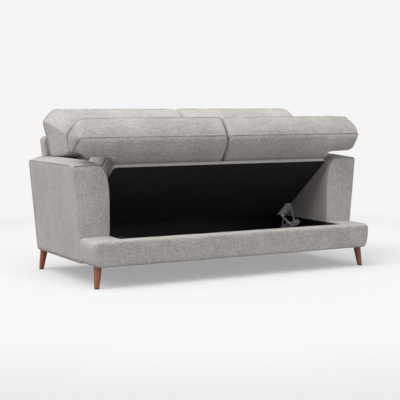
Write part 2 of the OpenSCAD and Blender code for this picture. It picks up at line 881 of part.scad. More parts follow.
module link(p, q) side_plate(link_x, steel_t) difference() {
    bar(p, q, link_w);
    pin_hole(p);
    pin_hole(q);
}
module rear_link_right() color(zinc) link(rear_pivot, lid_rear_pivot);
module rear_link_left() mirror([1, 0, 0]) rear_link_right();
module front_link_right() color(zinc) {
    side_plate(link_x, steel_t)
        difference() {
            bar(front_pivot, lid_front_pivot, link_w);
            pin_hole(front_pivot);
        }
    pin(lid_front_pivot, bracket_x + steel_t + pin_gap, link_x - bracket_x - steel_t, pin_r);
}
module front_link_left() mirror([1, 0, 0]) front_link_right();

bracket_front = lid_front_v - bracket_lip;
bracket_back = lid_rear_v + bracket_lip;
module bracket_screw_spots() {
    on_lid()
        pair()
            for (share = [0.15, 0.5, 0.85])
                translate([
                    bracket_x - flange_w * 0.65,
                    bracket_front + (bracket_back - bracket_front) * share,
                    -steel_t - head_t
                ])
                    children();
}
module lift_bracket() color(zinc)
    difference() {
        on_lid() {
            side_plate(bracket_x, steel_t)
                difference() {
                    polygon([
                        [bracket_front, 0],
                        [bracket_front, -bracket_d + link_w / 2],
                        [bracket_front + link_w / 2, -bracket_d],
                        [bracket_back - link_w / 2, -bracket_d],
                        [bracket_back, -bracket_d + link_w / 2],
                        [bracket_back, 0]
                    ]);
                    pin_hole([lid_front_v, -lid_front_w]);
                    pin_hole([lid_rear_v, -lid_rear_w], 0);
                    for (share = [0.38, 0.6])
                        bar_slot(bracket_front + (bracket_back - bracket_front) * share);
                }
            translate([bracket_x + steel_t - flange_w, bracket_front, -steel_t])
                cube([flange_w, bracket_back - bracket_front, steel_t]);
        }
        bracket_screw_spots() translate([0, 0, -over])
            cylinder(h = screw_l, r = screw_r, $fn = 16);
    }
module bar_slot(v) bar([v, -bracket_d / 2], [v + link_w, -bracket_d / 2], pin_r * 1.5);
module lift_bracket_right() lift_bracket();
module lift_bracket_left() mirror([1, 0, 0]) lift_bracket();
module lift_bracket_screws() color(zinc)
    bracket_screw_spots() {
        cylinder(h = head_t, r = screw_head_r, $fn = 24);
        cylinder(h = screw_l - 2 * over, r = screw_r, $fn = 16);
    }
module lid_rivets() color(zinc)
    pair() {
        from = bracket_x - head_t;
        to = link_x + steel_t + play / 2;
        pin(lid_rear_pivot, from, to - from, pin_r);
        pin(lid_rear_pivot, from, head_t, head_r);
    }

strut_l = norm(lid_rear_pivot - strut_pivot);
strut_a = atan2(lid_rear_pivot[1] - strut_pivot[1], lid_rear_pivot[0] - strut_pivot[0]);
rod_start = 1.75 * eye_r;
tube_mouth = strut_l - 4 * eye_r;
module on_strut()
    translate([strut_x, strut_pivot[0], strut_pivot[1]])
        rotate([strut_a - 90, 0, 0])
            children();
module eye() rotate([0, 90, 0]) cylinder(h = eye_t, r = eye_r, center = true, $fn = 32);
module eye_hole() rotate([0, 90, 0]) cylinder(h = eye_t + 2 * over, r = pin_r + pin_fit, center = true, $fn = 32);
module strut_tube_right() color(zinc)
    on_strut()
        difference() {
            union() {
                eye();
                translate([0, 0, head_r]) cylinder(h = eye_r, r = eye_t * 0.4, $fn = 32);
                translate([0, 0, rod_start - over]) cylinder(h = tube_mouth - rod_start + over, r = tube_r, $fn = 32);
            }
            eye_hole();
            translate([0, 0, rod_start])
                cylinder(h = strut_l, r = rod_r + pin_fit, $fn = 32);
        }
module strut_tube_left() mirror([1, 0, 0]) strut_tube_right();
// The strut's upper pin ends just short of the lid's rivet, so the strut can
// lag a little behind the lid part way through the lift
module strut_rod_right() color(zinc)
    on_strut() {
        translate([0, 0, rod_start + head_t])
            cylinder(h = strut_l - rod_start - head_t - head_r, r = rod_r, $fn = 32);
        translate([0, 0, strut_l]) {
            eye();
            translate([-eye_t / 2 - play, 0, 0])
                rotate([0, 90, 0])
                    cylinder(h = bracket_x - head_t - pin_gap - strut_x + eye_t / 2 + play, r = pin_r, $fn = 32);
        }
    }
module strut_rod_left() mirror([1, 0, 0]) strut_rod_right();

// Rests for the closed lid
closed_pivot_z = base_top + lid_clear - lid_rear_w;
rear_link_l = norm(lid_rear_pivot - rear_pivot);
closed_pivot_y = rear_pivot[0] + sqrt(pow(rear_link_l, 2) - pow(closed_pivot_z - rear_pivot[1], 2));
closed_front = closed_pivot_y - lid_rear_v;
module lid_rests() color(black)
    pair()
        translate([wall_in - rest_w, box_front, base_top - bumper_t - rest_h])
            cube([rest_w, closed_front + 3 * bumper_r - box_front, rest_h]);
module lid_bumpers() color(black)
    pair()
        translate([wall_in - rest_w / 2, closed_front + 1.5 * bumper_r, base_top - bumper_t])
            cylinder(h = bumper_t + lid_clear - rest_gap, r = bumper_r, $fn = 32);

front_rail_frame();
front_rail_cover();
arm_frame_left();
arm_frame_right();
arm_cover_left();
arm_cover_right();
back_frame();
back_cover();
base_rear_rail();
storage_floor();
storage_wall_left();
storage_wall_right();
storage_wall_front();
storage_wall_back();
floor_bearers();
lid_rests();
lid_bumpers();
dust_cover();
leg_front_left();
leg_front_right();
leg_back_left();
leg_back_right();
leg_plates();
leg_bolts();
foot_glides();
back_cushion_left();
back_cushion_right();
lid_board();
lid_lining();
lid_edge_band();
seat_cushion_left();
seat_cushion_right();
lift_bracket_left();
lift_bracket_right();
lift_bracket_screws();
lid_rivets();
lift_base_left();
lift_base_right();
lift_base_screws();
base_rivets();
rear_link_left();
rear_link_right();
front_link_left();
front_link_right();
strut_tube_left();
strut_tube_right();
strut_rod_left();
strut_rod_right();
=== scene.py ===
"""Dresses the storage sofa's solids with padded fabric, wood and plated steel."""
import json
from math import copysign, cos, exp, pi, radians, sin

import bmesh
import bpy
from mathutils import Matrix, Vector, noise
from mathutils.bvhtree import BVHTree
from mathutils.kdtree import KDTree


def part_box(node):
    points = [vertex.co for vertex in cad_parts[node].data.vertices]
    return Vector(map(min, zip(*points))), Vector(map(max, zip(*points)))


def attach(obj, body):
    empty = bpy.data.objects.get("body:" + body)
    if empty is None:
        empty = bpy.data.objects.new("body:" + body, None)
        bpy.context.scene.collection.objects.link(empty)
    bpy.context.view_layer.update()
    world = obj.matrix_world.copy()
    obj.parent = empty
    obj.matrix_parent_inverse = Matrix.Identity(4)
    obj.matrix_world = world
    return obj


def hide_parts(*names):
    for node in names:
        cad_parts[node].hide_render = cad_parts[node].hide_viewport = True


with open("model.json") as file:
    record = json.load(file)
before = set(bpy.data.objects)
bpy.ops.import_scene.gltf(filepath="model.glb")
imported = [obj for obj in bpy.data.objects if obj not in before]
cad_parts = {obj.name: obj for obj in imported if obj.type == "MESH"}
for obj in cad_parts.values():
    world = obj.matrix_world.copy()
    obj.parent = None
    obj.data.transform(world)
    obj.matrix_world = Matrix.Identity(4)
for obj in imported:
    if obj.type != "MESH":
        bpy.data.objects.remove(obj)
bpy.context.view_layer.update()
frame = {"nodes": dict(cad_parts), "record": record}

bl_info = {
    "name": "Storage sofa",
    "version": (1, 0, 0),
    "blender": (4, 5, 0),
    "location": "View3D > Sidebar > Sofa",
    "description": "Makes the padded, wooden and steel pieces of a sofa with a lift up seat",
    "category": "Object",
}

SIDES = {"right": 1, "left": -1}  # each side and its sign of x
FIXED = "sofa_frame"
LID = "seat_lid"

# Levels and edges read from the solids
ARM_LOW, ARM_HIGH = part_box("arm_cover_right")
RAIL_LOW, RAIL_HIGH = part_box("front_rail_cover")
BACK_LOW, BACK_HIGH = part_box("back_cover")
DUST_LOW, DUST_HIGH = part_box("dust_cover")

FINE = 0.006  # spacing of points along piping and over an upholstered cover
SKIM = 0.0005  # gap that keeps two faces apart
WELD = 1e-5  # points of a solid that are closer are one
ARM_CROWN = 0.022
THREADS = 620.0  # of the cover's weave, in a metre


def size(name, description, default):
    return bpy.props.FloatProperty(name=name, description=description, default=default, min=0.0,
                                   precision=4, unit="LENGTH", subtype="DISTANCE")


def colour(name, description, default):
    return bpy.props.FloatVectorProperty(name=name, description=description, default=default,
                                         size=3, min=0.0, max=1.0, subtype="COLOR")


class SofaSizes(bpy.types.PropertyGroup):
    """Sizes that the pieces share"""

    seat_half: size("Half seat", "From the middle to the inside of an arm", ARM_LOW.x)
    arm_lean: size("Arm lean", "How far an arm's outside leans out from foot to top", 0.047)
    curve_w: size("Arm curve width", "Width of the curve on an arm's inside", 0.080)
    curve_h: size("Arm curve height", "Height of the curve on an arm's inside", 0.220)
    arm_crown: size("Arm crown", "Rise of an arm's padded top", ARM_CROWN)
    front_crown: size("Front crown", "Rise of an arm's top at its front", 0.004)
    edge_round: size("Edge rounding", "Rounding of an arm's outer top edge", 0.012)
    front_round: size("Front rounding", "Rounding round an arm's front panel", 0.014)
    panel_dome: size("Panel dome", "How far an arm's front panel bulges", 0.007)
    rail_round: size("Rail rounding", "Rounding of the rail's top edge", 0.016)
    rail_corner: size("Rail corner", "Rounding of the rail's upright corners", 0.032)
    piping: size("Piping radius", "Radius of the piping in the seams", 0.0023)
    swell: size("Swell", "How far a filled cushion may move from its start", 0.012)
    proud: size("Proud", "How far fabric may stand outside its solid", 0.004)


class SofaColours(bpy.types.PropertyGroup):
    """Colours and finishes of the pieces"""

    light_thread: colour("Light thread", "Lighter yarn of the cover", (0.600, 0.566, 0.538))
    dark_thread: colour("Dark thread", "Darker yarn of the cover", (0.232, 0.215, 0.202))
    leg_wood: colour("Leg wood", "Brown of the legs", (0.290, 0.098, 0.044))
    leg_grain: colour("Leg grain", "Darker grain of the legs", (0.165, 0.052, 0.024))
    raw_wood: colour("Raw wood", "Unfinished timber inside", (0.560, 0.410, 0.240))
    raw_grain: colour("Raw grain", "Grain of the unfinished timber", (0.400, 0.260, 0.130))
    black: colour("Black", "Black board, cloth and rubber", (0.006, 0.006, 0.0065))
    worn_black: colour("Dusty black", "Lighter specks on the black parts", (0.022, 0.022, 0.023))
    zinc: colour("Zinc", "Plated steel", (0.930, 0.935, 0.940))
    zinc_dull: colour("Dull zinc", "Duller grains of the plating", (0.740, 0.750, 0.770))
    floor: colour("Floor", "Pale floor", (0.430, 0.430, 0.430))
    backdrop: colour("Backdrop", "Pale background", (0.913, 0.913, 0.913))


def sizes():
    return bpy.context.scene.sofa_sizes


def colours():
    return bpy.context.scene.sofa_colours


# ---- Meshes ----------------------------------------------------------------


def held(value):
    return min(1.0, max(0.0, value))


def smooth_step(value):
    t = held(value)
    return t * t * (3.0 - 2.0 * t)


def quarter(steps):
    """Angles from nothing to a quarter turn."""
    return [pi / 2 * i / steps for i in range(steps + 1)]


def add_object(name, mesh):
    piece = bpy.data.objects.new(name, mesh)
    bpy.context.scene.collection.objects.link(piece)
    return piece


def mesh_piece(name, points, faces, merge=1e-6):
    """A mesh whose faces point outwards and are shaded smooth."""
    mesh = bpy.data.meshes.new(name)
    mesh.from_pydata([tuple(p) for p in points], [], faces)
    work = bmesh.new()
    work.from_mesh(mesh)
    bmesh.ops.remove_doubles(work, verts=work.verts, dist=merge)
    bmesh.ops.recalc_face_normals(work, faces=work.faces)
    for face in work.faces:
        face.smooth = True
    work.to_mesh(mesh)
    work.free()
    return add_object(name, mesh)


def skin(rings, ends=("fan", "fan")):
    """Points and faces of a skin through closed rings of equal count. Each end is a fan, one face or open."""
    count = len(rings[0])
    points = [p for ring in rings for p in ring]
    faces = []
    for row in range(len(rings) - 1):
        for i in range(count):
            a, b = row * count + i, row * count + (i + 1) % count
            faces.append((a, b, b + count, a + count))
    for first, end in zip((0, (len(rings) - 1) * count), ends):
        if end == "face":
            faces.append(tuple(range(first, first + count)))
        elif end == "fan":
            centre = len(points)
            points.append(sum((Vector(p) for p in points[first:first + count]), Vector()) / count)
            faces += [(centre, first + i, first + (i + 1) % count) for i in range(count)]
    return points, faces


def prism(outline, low, high, place):
    """Points and faces of a prism. place turns an outline's point and a depth into a point in space."""
    return skin([[place(p, depth) for p in outline] for depth in (low, high)], ("face", "face"))


def joined(solids):
    points, faces = [], []
    for more_points, more_faces in solids:
        start = len(points)
        points += more_points
        faces += [tuple(i + start for i in face) for face in more_faces]
    return points, faces


def apply_modifiers(piece):
    deps = bpy.context.evaluated_depsgraph_get()
    mesh = bpy.data.meshes.new_from_object(piece.evaluated_get(deps), depsgraph=deps)
    old = piece.data
    piece.modifiers.clear()
    piece.data = mesh
    bpy.data.meshes.remove(old)
    piece.data.name = piece.name
    return piece


def remesh(piece, rounds):
    """Even mesh over everything in the piece, with edges rounded by as many rounds of smoothing."""
    change = piece.modifiers.new("Even mesh", "REMESH")
    change.mode = "VOXEL"
    change.voxel_size = FINE
    change.use_smooth_shade = True
    relax = piece.modifiers.new("Round edges", "SMOOTH")
    relax.factor = 0.5
    relax.iterations = rounds
    return apply_modifiers(piece)


def move_points(piece, rule):
    """Moves each vertex by what the rule gives for its place and normal."""
    mesh = piece.data
    moves = [rule(v.co, v.normal) for v in mesh.vertices]
    for vertex, move in zip(mesh.vertices, moves):
        vertex.co += move
    mesh.update()
    return piece


def crumple(piece, depth, pitch, seed):
    """Soft dents and fine creases of cloth over padding."""
    shift = Vector((seed * 3.7, seed * 1.3, seed * 2.1))

    def rule(point, normal):
        wide = noise.noise(point / pitch + shift)
        fine = noise.noise(point / (pitch * 0.31) + shift * 2)
        return normal * depth * (wide + 0.35 * fine)

    return move_points(piece, rule)


def mirrored(name, piece):
    """The piece's mirror image on the other side of the sofa."""
    mesh = piece.data.copy()
    work = bmesh.new()
    work.from_mesh(mesh)
    for vertex in work.verts:
        vertex.co.x = -vertex.co.x
    bmesh.ops.reverse_faces(work, faces=work.faces)
    work.to_mesh(mesh)
    work.free()
    return add_object(name, mesh)


def tree_of(node):
    work = bmesh.new()
    work.from_mesh(frame["nodes"][node].data)
    bmesh.ops.remove_doubles(work, verts=work.verts, dist=WELD)
    bmesh.ops.recalc_face_normals(work, faces=work.faces)
    tree = BVHTree.FromBMesh(work)
    work.free()
    return tree


def keep_within(piece, tree, proud):
    """Pulls back what stands further than proud outside a solid."""

    def rule(point, _normal):
        near, normal, _index, _distance = tree.find_nearest(point)
        out = (point - near).dot(normal)
        return normal * (proud - out) if out > proud else Vector()

    return move_points(piece, rule)


def evened(line, spacing):
    """The closed line with evenly spaced points."""
    points = line[:]
    if (points[0] - points[-1]).length > 1e-6:
        points.append(points[0])
    spans = [(b - a).length for a, b in zip(points, points[1:])]
    length = sum(spans)
    count = max(4, round(length / spacing))
    out, span, gone = [], 0, 0.0
    for k in range(count):
        want = length * k / count
        while span < len(spans) - 1 and gone + spans[span] < want:
            gone += spans[span]
            span += 1
        t = (want - gone) / spans[span] if spans[span] > 1e-12 else 0.0
        out.append(points[span].lerp(points[span + 1], min(1.0, t)))
    return out


def relaxed(line, rounds):
    """The open line with its small kinks smoothed out."""
    for _ in range(rounds):
        inner = [here * 0.5 + (last + after) * 0.25 for last, here, after in zip(line, line[1:], line[2:])]
        line = [line[0], *inner, line[-1]]
    return line


# ---- Node groups -----------------------------------------------------------

SOCKETS = {float: "NodeSocketFloat", int: "NodeSocketInt", tuple: "NodeSocketColor"}


def add_inputs(tree, inputs):
    """Gives a node group its named inputs, each of the kind of its value."""
    for label, value in inputs.items():
        socket = tree.interface.new_socket(label, in_out="INPUT", socket_type=SOCKETS[type(value)])
        socket.default_value = value


def group_named(name):
    """The named node group, made when it is first asked for."""
    makers = {"Piping along a path": piping_tree, "Staples along a path": staple_tree,
              "Heathered weave": weave_group, "Wood grain": grain_group, "Specks and smudges": speckle_group}
    return bpy.data.node_groups.get(name) or makers[name](name)


def feed(tree, socket, value):
    """Joins a socket to another node's output, or gives it a plain value or colour."""
    if isinstance(value, bpy.types.NodeSocket):
        tree.links.new(value, socket)
    elif socket.type == "RGBA":
        socket.default_value = (*value[:3], 1.0)
    else:
        socket.default_value = value


def put(tree, kind, inputs=(), **settings):
    """A new node with its settings and what feeds its inputs."""
    node = tree.nodes.new(kind)
    for key, value in settings.items():
        setattr(node, key, value)
    for key, value in dict(inputs).items():
        feed(tree, node.inputs[key], value)
    return node


# ---- Geometry Nodes: what follows a path -----------------------------------


def path_tree(name, inputs):
    """A group that takes a path and gives a mesh, its inputs' outputs and the path as a curve."""
    tree = bpy.data.node_groups.new(name, "GeometryNodeTree")
    tree.interface.new_socket("Path", in_out="INPUT", socket_type="NodeSocketGeometry")
    add_inputs(tree, inputs)
    tree.interface.new_socket("Mesh", in_out="OUTPUT", socket_type="NodeSocketGeometry")
    given = tree.nodes.new("NodeGroupInput").outputs
    return tree, given, put(tree, "GeometryNodeMeshToCurve", {"Mesh": given["Path"]}).outputs["Curve"]


def finish_tree(tree, mesh):
    """Shades the mesh smooth and gives it out."""
    shade = put(tree, "GeometryNodeSetShadeSmooth", {"Geometry": mesh})
    put(tree, "NodeGroupOutput", {"Mesh": shade.outputs["Geometry"]})
    return tree


def piping_tree(name):
    """A round cord of fabric that follows each path."""
    tree, given, curve = path_tree(name, {"Radius": 0.0026, "Spacing": FINE, "Sides": 8})
    even = put(tree, "GeometryNodeResampleCurve", {"Curve": curve, "Length": given["Spacing"]}, mode="LENGTH")
    ring = put(tree, "GeometryNodeCurvePrimitiveCircle", {"Radius": given["Radius"], "Resolution": given["Sides"]})
    sweep = put(tree, "GeometryNodeCurveToMesh", {
        "Curve": even.outputs["Curve"], "Profile Curve": ring.outputs["Curve"], "Fill Caps": True})
    return finish_tree(tree, sweep.outputs["Mesh"])


def staple_tree(name):
    """Staples set along each path."""
    tree, given, curve = path_tree(name, {"Spacing": 0.0085, "Length": 0.0055, "Thickness": 0.0006, "Seed": 3})
    points = put(tree, "GeometryNodeCurveToPoints", {"Curve": curve, "Length": given["Spacing"]}, mode="LENGTH")
    bead = put(tree, "GeometryNodeMeshIcoSphere", {"Radius": 0.5, "Subdivisions": 1})
    uneven = put(tree, "FunctionNodeRandomValue", {"Min": 0.9, "Max": 1.08, "Seed": given["Seed"]}, data_type="FLOAT")
    long = put(tree, "ShaderNodeMath", {0: uneven.outputs[1], 1: given["Length"]}, operation="MULTIPLY")
    shape = put(tree, "ShaderNodeCombineXYZ", {
        "X": given["Thickness"], "Y": given["Thickness"], "Z": long.outputs["Value"]})
    placed = put(tree, "GeometryNodeInstanceOnPoints", {
        "Points": points.outputs["Points"], "Rotation": points.outputs["Rotation"],
        "Instance": bead.outputs["Mesh"], "Scale": shape.outputs["Vector"]})
    real = put(tree, "GeometryNodeRealizeInstances", {"Geometry": placed.outputs["Instances"]})
    return finish_tree(tree, real.outputs["Geometry"])


def along(name, group, paths, **values):
    """A plain mesh grown by a node group along paths, each a pair of points and whether it closes."""
    mesh = bpy.data.meshes.new(name)
    points, edges = [], []
    for line, closed in paths:
        start, count = len(points), len(line)
        points += [tuple(p) for p in line]
        edges += [(start + i, start + i + 1) for i in range(count - 1)]
        if closed:
            edges.append((start + count - 1, start))
    mesh.from_pydata(points, edges, [])
    piece = add_object(name, mesh)
    change = piece.modifiers.new("Along", "NODES")
    change.node_group = group_named(group)
    for item in change.node_group.interface.items_tree:
        if item.in_out == "INPUT" and item.name in values:
            change[item.identifier] = values[item.name]
    return apply_modifiers(piece)


# ---- Materials -------------------------------------------------------------


def maths(tree, operation, first, second=None, clamp=False):
    inputs = {0: first} if second is None else {0: first, 1: second}
    return put(tree, "ShaderNodeMath", inputs, operation=operation, use_clamp=clamp).outputs[0]


def total(tree, *parts, clamp=False):
    """The sum of values, each given with its weight."""
    terms = [maths(tree, "MULTIPLY", value, weight) for value, weight in parts]
    result = terms[0]
    for term in terms[1:]:
        result = maths(tree, "ADD", result, term, clamp=clamp and term is terms[-1])
    return result


def noise_of(tree, vector, scale, detail=3.0, rough=0.55, stretch=None):
    """Noise at a scale given per metre, stretched by shares along the axes."""
    if stretch is not None:
        vector = put(tree, "ShaderNodeVectorMath", {0: vector, 1: stretch}, operation="MULTIPLY").outputs[0]
    inputs = {"Vector": vector, "Scale": scale, "Detail": detail, "Roughness": rough}
    return put(tree, "ShaderNodeTexNoise", inputs).outputs["Fac"]


def mix(tree, factor, first, second):
    return put(tree, "ShaderNodeMix", {0: factor, 6: first, 7: second}, data_type="RGBA").outputs[2]


def spread(tree, value, low, high):
    """value between low and high, stretched to 0 to 1."""
    inputs = {"Value": value, "From Min": low, "From Max": high}
    return put(tree, "ShaderNodeMapRange", inputs, interpolation_type="SMOOTHSTEP").outputs["Result"]


def surface_group(name, inputs):
    """A group that will give a colour, a height and a roughness, its inputs' outputs and its coordinates."""
    tree = bpy.data.node_groups.new(name, "ShaderNodeTree")
    add_inputs(tree, inputs)
    for label in ("Colour", "Height", "Roughness"):
        kind = "NodeSocketColor" if label == "Colour" else "NodeSocketFloat"
        tree.interface.new_socket(label, in_out="OUTPUT", socket_type=kind)
    return tree, tree.nodes.new("NodeGroupInput").outputs, tree.nodes.new("ShaderNodeTexCoord").outputs


def weave_group(name):
    """Plain weave of uneven yarn, with heathered colour and slubs."""
    tree, given, place = surface_group(name, {
        "Light Thread": (0.5, 0.5, 0.5, 1.0), "Dark Thread": (0.3, 0.3, 0.3, 1.0),
        "Threads per Metre": THREADS, "Heather": 1.0})
    where = place["Object"]
    wobble = put(tree, "ShaderNodeTexNoise", {"Vector": where, "Scale": 30.0}).outputs["Color"]
    bend = put(tree, "ShaderNodeVectorMath", {0: wobble, 1: (0.004, 0.004, 0.004), 2: where},
               operation="MULTIPLY_ADD")
    parts, sides = (put(tree, "ShaderNodeSeparateXYZ", {0: vector}).outputs
                    for vector in (bend.outputs[0], place["Normal"]))
    turns = maths(tree, "MULTIPLY", given["Threads per Metre"], pi)
    waves = [maths(tree, "SINE", maths(tree, "MULTIPLY", parts[i], turns)) for i in range(3)]
    weights = [maths(tree, "POWER", maths(tree, "ABSOLUTE", sides[i]), 3.0) for i in range(3)]
    crossed = [
        maths(tree, "MULTIPLY", maths(tree, "MULTIPLY", waves[(i + 1) % 3], waves[(i + 2) % 3]), weights[i])
        for i in range(3)]
    weave = maths(tree, "ADD", maths(tree, "ADD", crossed[0], crossed[1]), crossed[2])
    across = noise_of(tree, where, 30.0, 3.0, 0.6, (1.0, 8.0, 8.0))
    upright = noise_of(tree, where, 30.0, 3.0, 0.6, (8.0, 8.0, 1.0))
    fleck = noise_of(tree, where, 420.0, 2.0, 0.6)
    knots = noise_of(tree, where, 130.0, 2.0, 0.7)
    cloud = noise_of(tree, where, 5.0, 3.0, 0.55)
    slub = maths(tree, "ADD", spread(tree, across, 0.42, 0.68), spread(tree, upright, 0.42, 0.68))
    yarn = total(tree, (slub, 0.24), (spread(tree, fleck, 0.3, 0.7), 0.24), (spread(tree, knots, 0.36, 0.64), 0.26),
                 (spread(tree, cloud, 0.3, 0.7), 0.16), (weave, 0.10))
    even = maths(tree, "MULTIPLY", maths(tree, "SUBTRACT", yarn, 0.5), given["Heather"])
    heather = maths(tree, "ADD", even, 0.5, clamp=True)
    put(tree, "NodeGroupOutput", {
        "Colour": mix(tree, heather, given["Dark Thread"], given["Light Thread"]),
        "Height": total(tree, (weave, 0.5), (fleck, 0.5), (slub, 0.35)),
        "Roughness": maths(tree, "SUBTRACT", 0.96, maths(tree, "MULTIPLY", heather, 0.12))})
    return tree


def grain_group(name):
    """Wood grain that runs along Z, with pores and darker streaks."""
    tree, given, place = surface_group(name, {
        "Wood": (0.4, 0.2, 0.1, 1.0), "Grain": (0.2, 0.1, 0.05, 1.0), "Scale": 1.0})
    where = put(tree, "ShaderNodeVectorMath", {0: place["Object"], "Scale": given["Scale"]},
                operation="SCALE").outputs[0]
    long = noise_of(tree, where, 90.0, 4.0, 0.6, (1.0, 1.0, 0.06))
    pores = noise_of(tree, where, 900.0, 2.0, 0.5, (1.0, 1.0, 0.03))
    cloud = noise_of(tree, where, 14.0, 2.0, 0.5, (1.0, 1.0, 0.3))
    dark = total(tree, (spread(tree, long, 0.42, 0.66), 0.6), (spread(tree, pores, 0.55, 0.72), 0.3),
                 (spread(tree, cloud, 0.35, 0.7), 0.25), clamp=True)
    put(tree, "NodeGroupOutput", {
        "Colour": mix(tree, dark, given["Wood"], given["Grain"]),
        "Height": maths(tree, "SUBTRACT", 1.0, dark),
        "Roughness": maths(tree, "ADD", 0.30, maths(tree, "MULTIPLY", dark, 0.22))})
    return tree


def speckle_group(name):
    """Fine specks and soft smudges between two colours."""
    tree, given, place = surface_group(name, {
        "Base": (0.02, 0.02, 0.02, 1.0), "Specks": (0.05, 0.05, 0.05, 1.0), "Scale": 300.0,
        "Low Roughness": 0.5, "High Roughness": 0.8})
    fine = noise_of(tree, place["Object"], given["Scale"], 3.0, 0.6)
    smudge = noise_of(tree, place["Object"], 11.0, 4.0, 0.6)
    mask = total(tree, (spread(tree, fine, 0.45, 0.7), 0.6), (spread(tree, smudge, 0.4, 0.75), 0.5), clamp=True)
    rough = put(tree, "ShaderNodeMapRange", {
        "Value": mask, "To Min": given["Low Roughness"], "To Max": given["High Roughness"]})
    put(tree, "NodeGroupOutput", {
        "Colour": mix(tree, mask, given["Base"], given["Specks"]), "Height": fine,
        "Roughness": rough.outputs["Result"]})
    return tree


def finish_material(name, group, values, bump, depth, fixed):
    """A material with one group's colour, roughness and height, and fixed shader values."""
    material = bpy.data.materials.new(name)
    material.use_nodes = True
    tree = material.node_tree
    made = put(tree, "ShaderNodeGroup", values, node_tree=group_named(group))
    raised = put(tree, "ShaderNodeBump", {
        "Strength": bump, "Distance": depth, "Height": made.outputs["Height"]})
    inputs = {"Base Color": made.outputs["Colour"], "Roughness": made.outputs["Roughness"],
              "Normal": raised.outputs["Normal"], **fixed}
    for key, value in inputs.items():
        feed(tree, tree.nodes["Principled BSDF"].inputs[key], value)
    return material


def fabric(heather=1.0, dim=1.0):
    """What a cover's fabric is made of. dim scales the brightness of its yarn; the seat, cushion and piping copies
    use it to paint shade or light onto the one cover fabric.
    """
    light, dark = ([c * dim for c in tint] for tint in (colours().light_thread, colours().dark_thread))
    return ("Heathered weave",
            {"Light Thread": light, "Dark Thread": dark, "Threads per Metre": THREADS, "Heather": heather},
            0.55, 0.0005, {"Sheen Weight": 0.18, "Sheen Roughness": 0.5, "Specular IOR Level": 0.2})


def lacquered(wood, grain, coat, scale=1.0):
    """What wood under a clear coat is made of."""
    return ("Wood grain", {"Wood": wood, "Grain": grain, "Scale": scale},
            0.25, 0.0003, {"Coat Weight": coat, "Coat Roughness": 0.22, "Specular IOR Level": 0.5})


def speckled(base, specks, scale, rough, bump, metal=0.0, shine=0.5):
    """What a plain hard finish is made of."""
    return ("Specks and smudges",
            {"Base": base, "Specks": specks, "Scale": scale, "Low Roughness": rough[0], "High Roughness": rough[1]},
            bump, 0.0002, {"Metallic": metal, "Specular IOR Level": shine})


def material_of(name):
    """The named finish, made when it is first asked for."""
    tints = colours()
    black, dusty = tints.black, tints.worn_black
    recipes = {
        "Cover fabric": fabric(),
        # Seat fabric: the cover fabric with its yarn dimmed to 0.965, painted shade on the seat cushions
        "Seat fabric painted shade": fabric(dim=0.965),
        # Cushion fabric: the cover fabric with its yarn brightened to 1.035, painted light on the back cushions
        "Cushion fabric painted light": fabric(dim=1.035),
        # Piping fabric: the cover fabric with its yarn dimmed to 0.62, painted shade that draws every seam as a dark
        # line
        "Piping fabric painted seam shade": fabric(0.7, 0.62),
        "Band fabric": fabric(0.7, 0.8),
        "Leg wood": lacquered(tints.leg_wood, tints.leg_grain, 0.18),
        "Raw timber": lacquered(tints.raw_wood, tints.raw_grain, 0.0, 0.5),
        "Black board": speckled(black, dusty, 500.0, (0.45, 0.65), 0.15, shine=0.2),
        "Black cloth": (
            "Heathered weave",
            {"Light Thread": dusty, "Dark Thread": black, "Threads per Metre": 900.0, "Heather": 1.2},
            0.5, 0.0003, {"Specular IOR Level": 0.25}),
        "Black rubber": speckled(black, dusty, 260.0, (0.6, 0.85), 0.25),
        "Zinc plate": speckled(tints.zinc, tints.zinc_dull, 420.0, (0.30, 0.48), 0.12, 0.15, 0.9),
        "Blackened steel": speckled(dusty, black, 420.0, (0.30, 0.48), 0.12),
    }
    return bpy.data.materials.get(name) or finish_material(name, *recipes[name])


def dress(piece, finish, body, slot, *nodes):
    """Gives a finished piece its material and body, and hides the solids that it stands for. slot is not used."""
    piece.data.materials.clear()
    piece.data.materials.append(material_of(finish))
    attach(piece, body)
    if nodes:
        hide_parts(*nodes)
    return piece


def add_piping(name, paths, radius, body, slot):
    """A cord of fabric along the paths."""
    cord = along(name, "Piping along a path", paths, Radius=radius, Spacing=FINE)
    dress(cord, "Piping fabric painted seam shade", body, slot)


# ---- Upholstered frame -----------------------------------------------------

CURVE_POWER = 2.6  # of the rounding on an arm's inside
SIDE_STEPS, CURVE_STEPS, TOP_STEPS, EDGE_STEPS = 12, 24, 12, 6  # points along an arm's outline
ARM_CORNER = SIDE_STEPS + CURVE_STEPS + TOP_STEPS + EDGE_STEPS // 2  # number of the point at its outer top edge
ARM_FULL = 0.26  # share of an arm's depth after which its crown is full
PIPING_TURN = 38  # degrees round the front panel's edge at which its piping lies
PIPING_OUT, PIPING_UP = 0.0012, 0.0008  # how far the top edge's piping stands out of the skin
RAIL_IN, RAIL_OUT, RAIL_MIDDLE = 0.016, 0.014, 0.78  # the rail's end: in below, out at a share of its height
RAIL_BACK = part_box("storage_wall_front")[0].y - SKIM
ARM_TALL = ARM_HIGH.z - ARM_CROWN - ARM_LOW.z
BACK_SHOULDER, BACK_ROUND = 0.868, 0.024


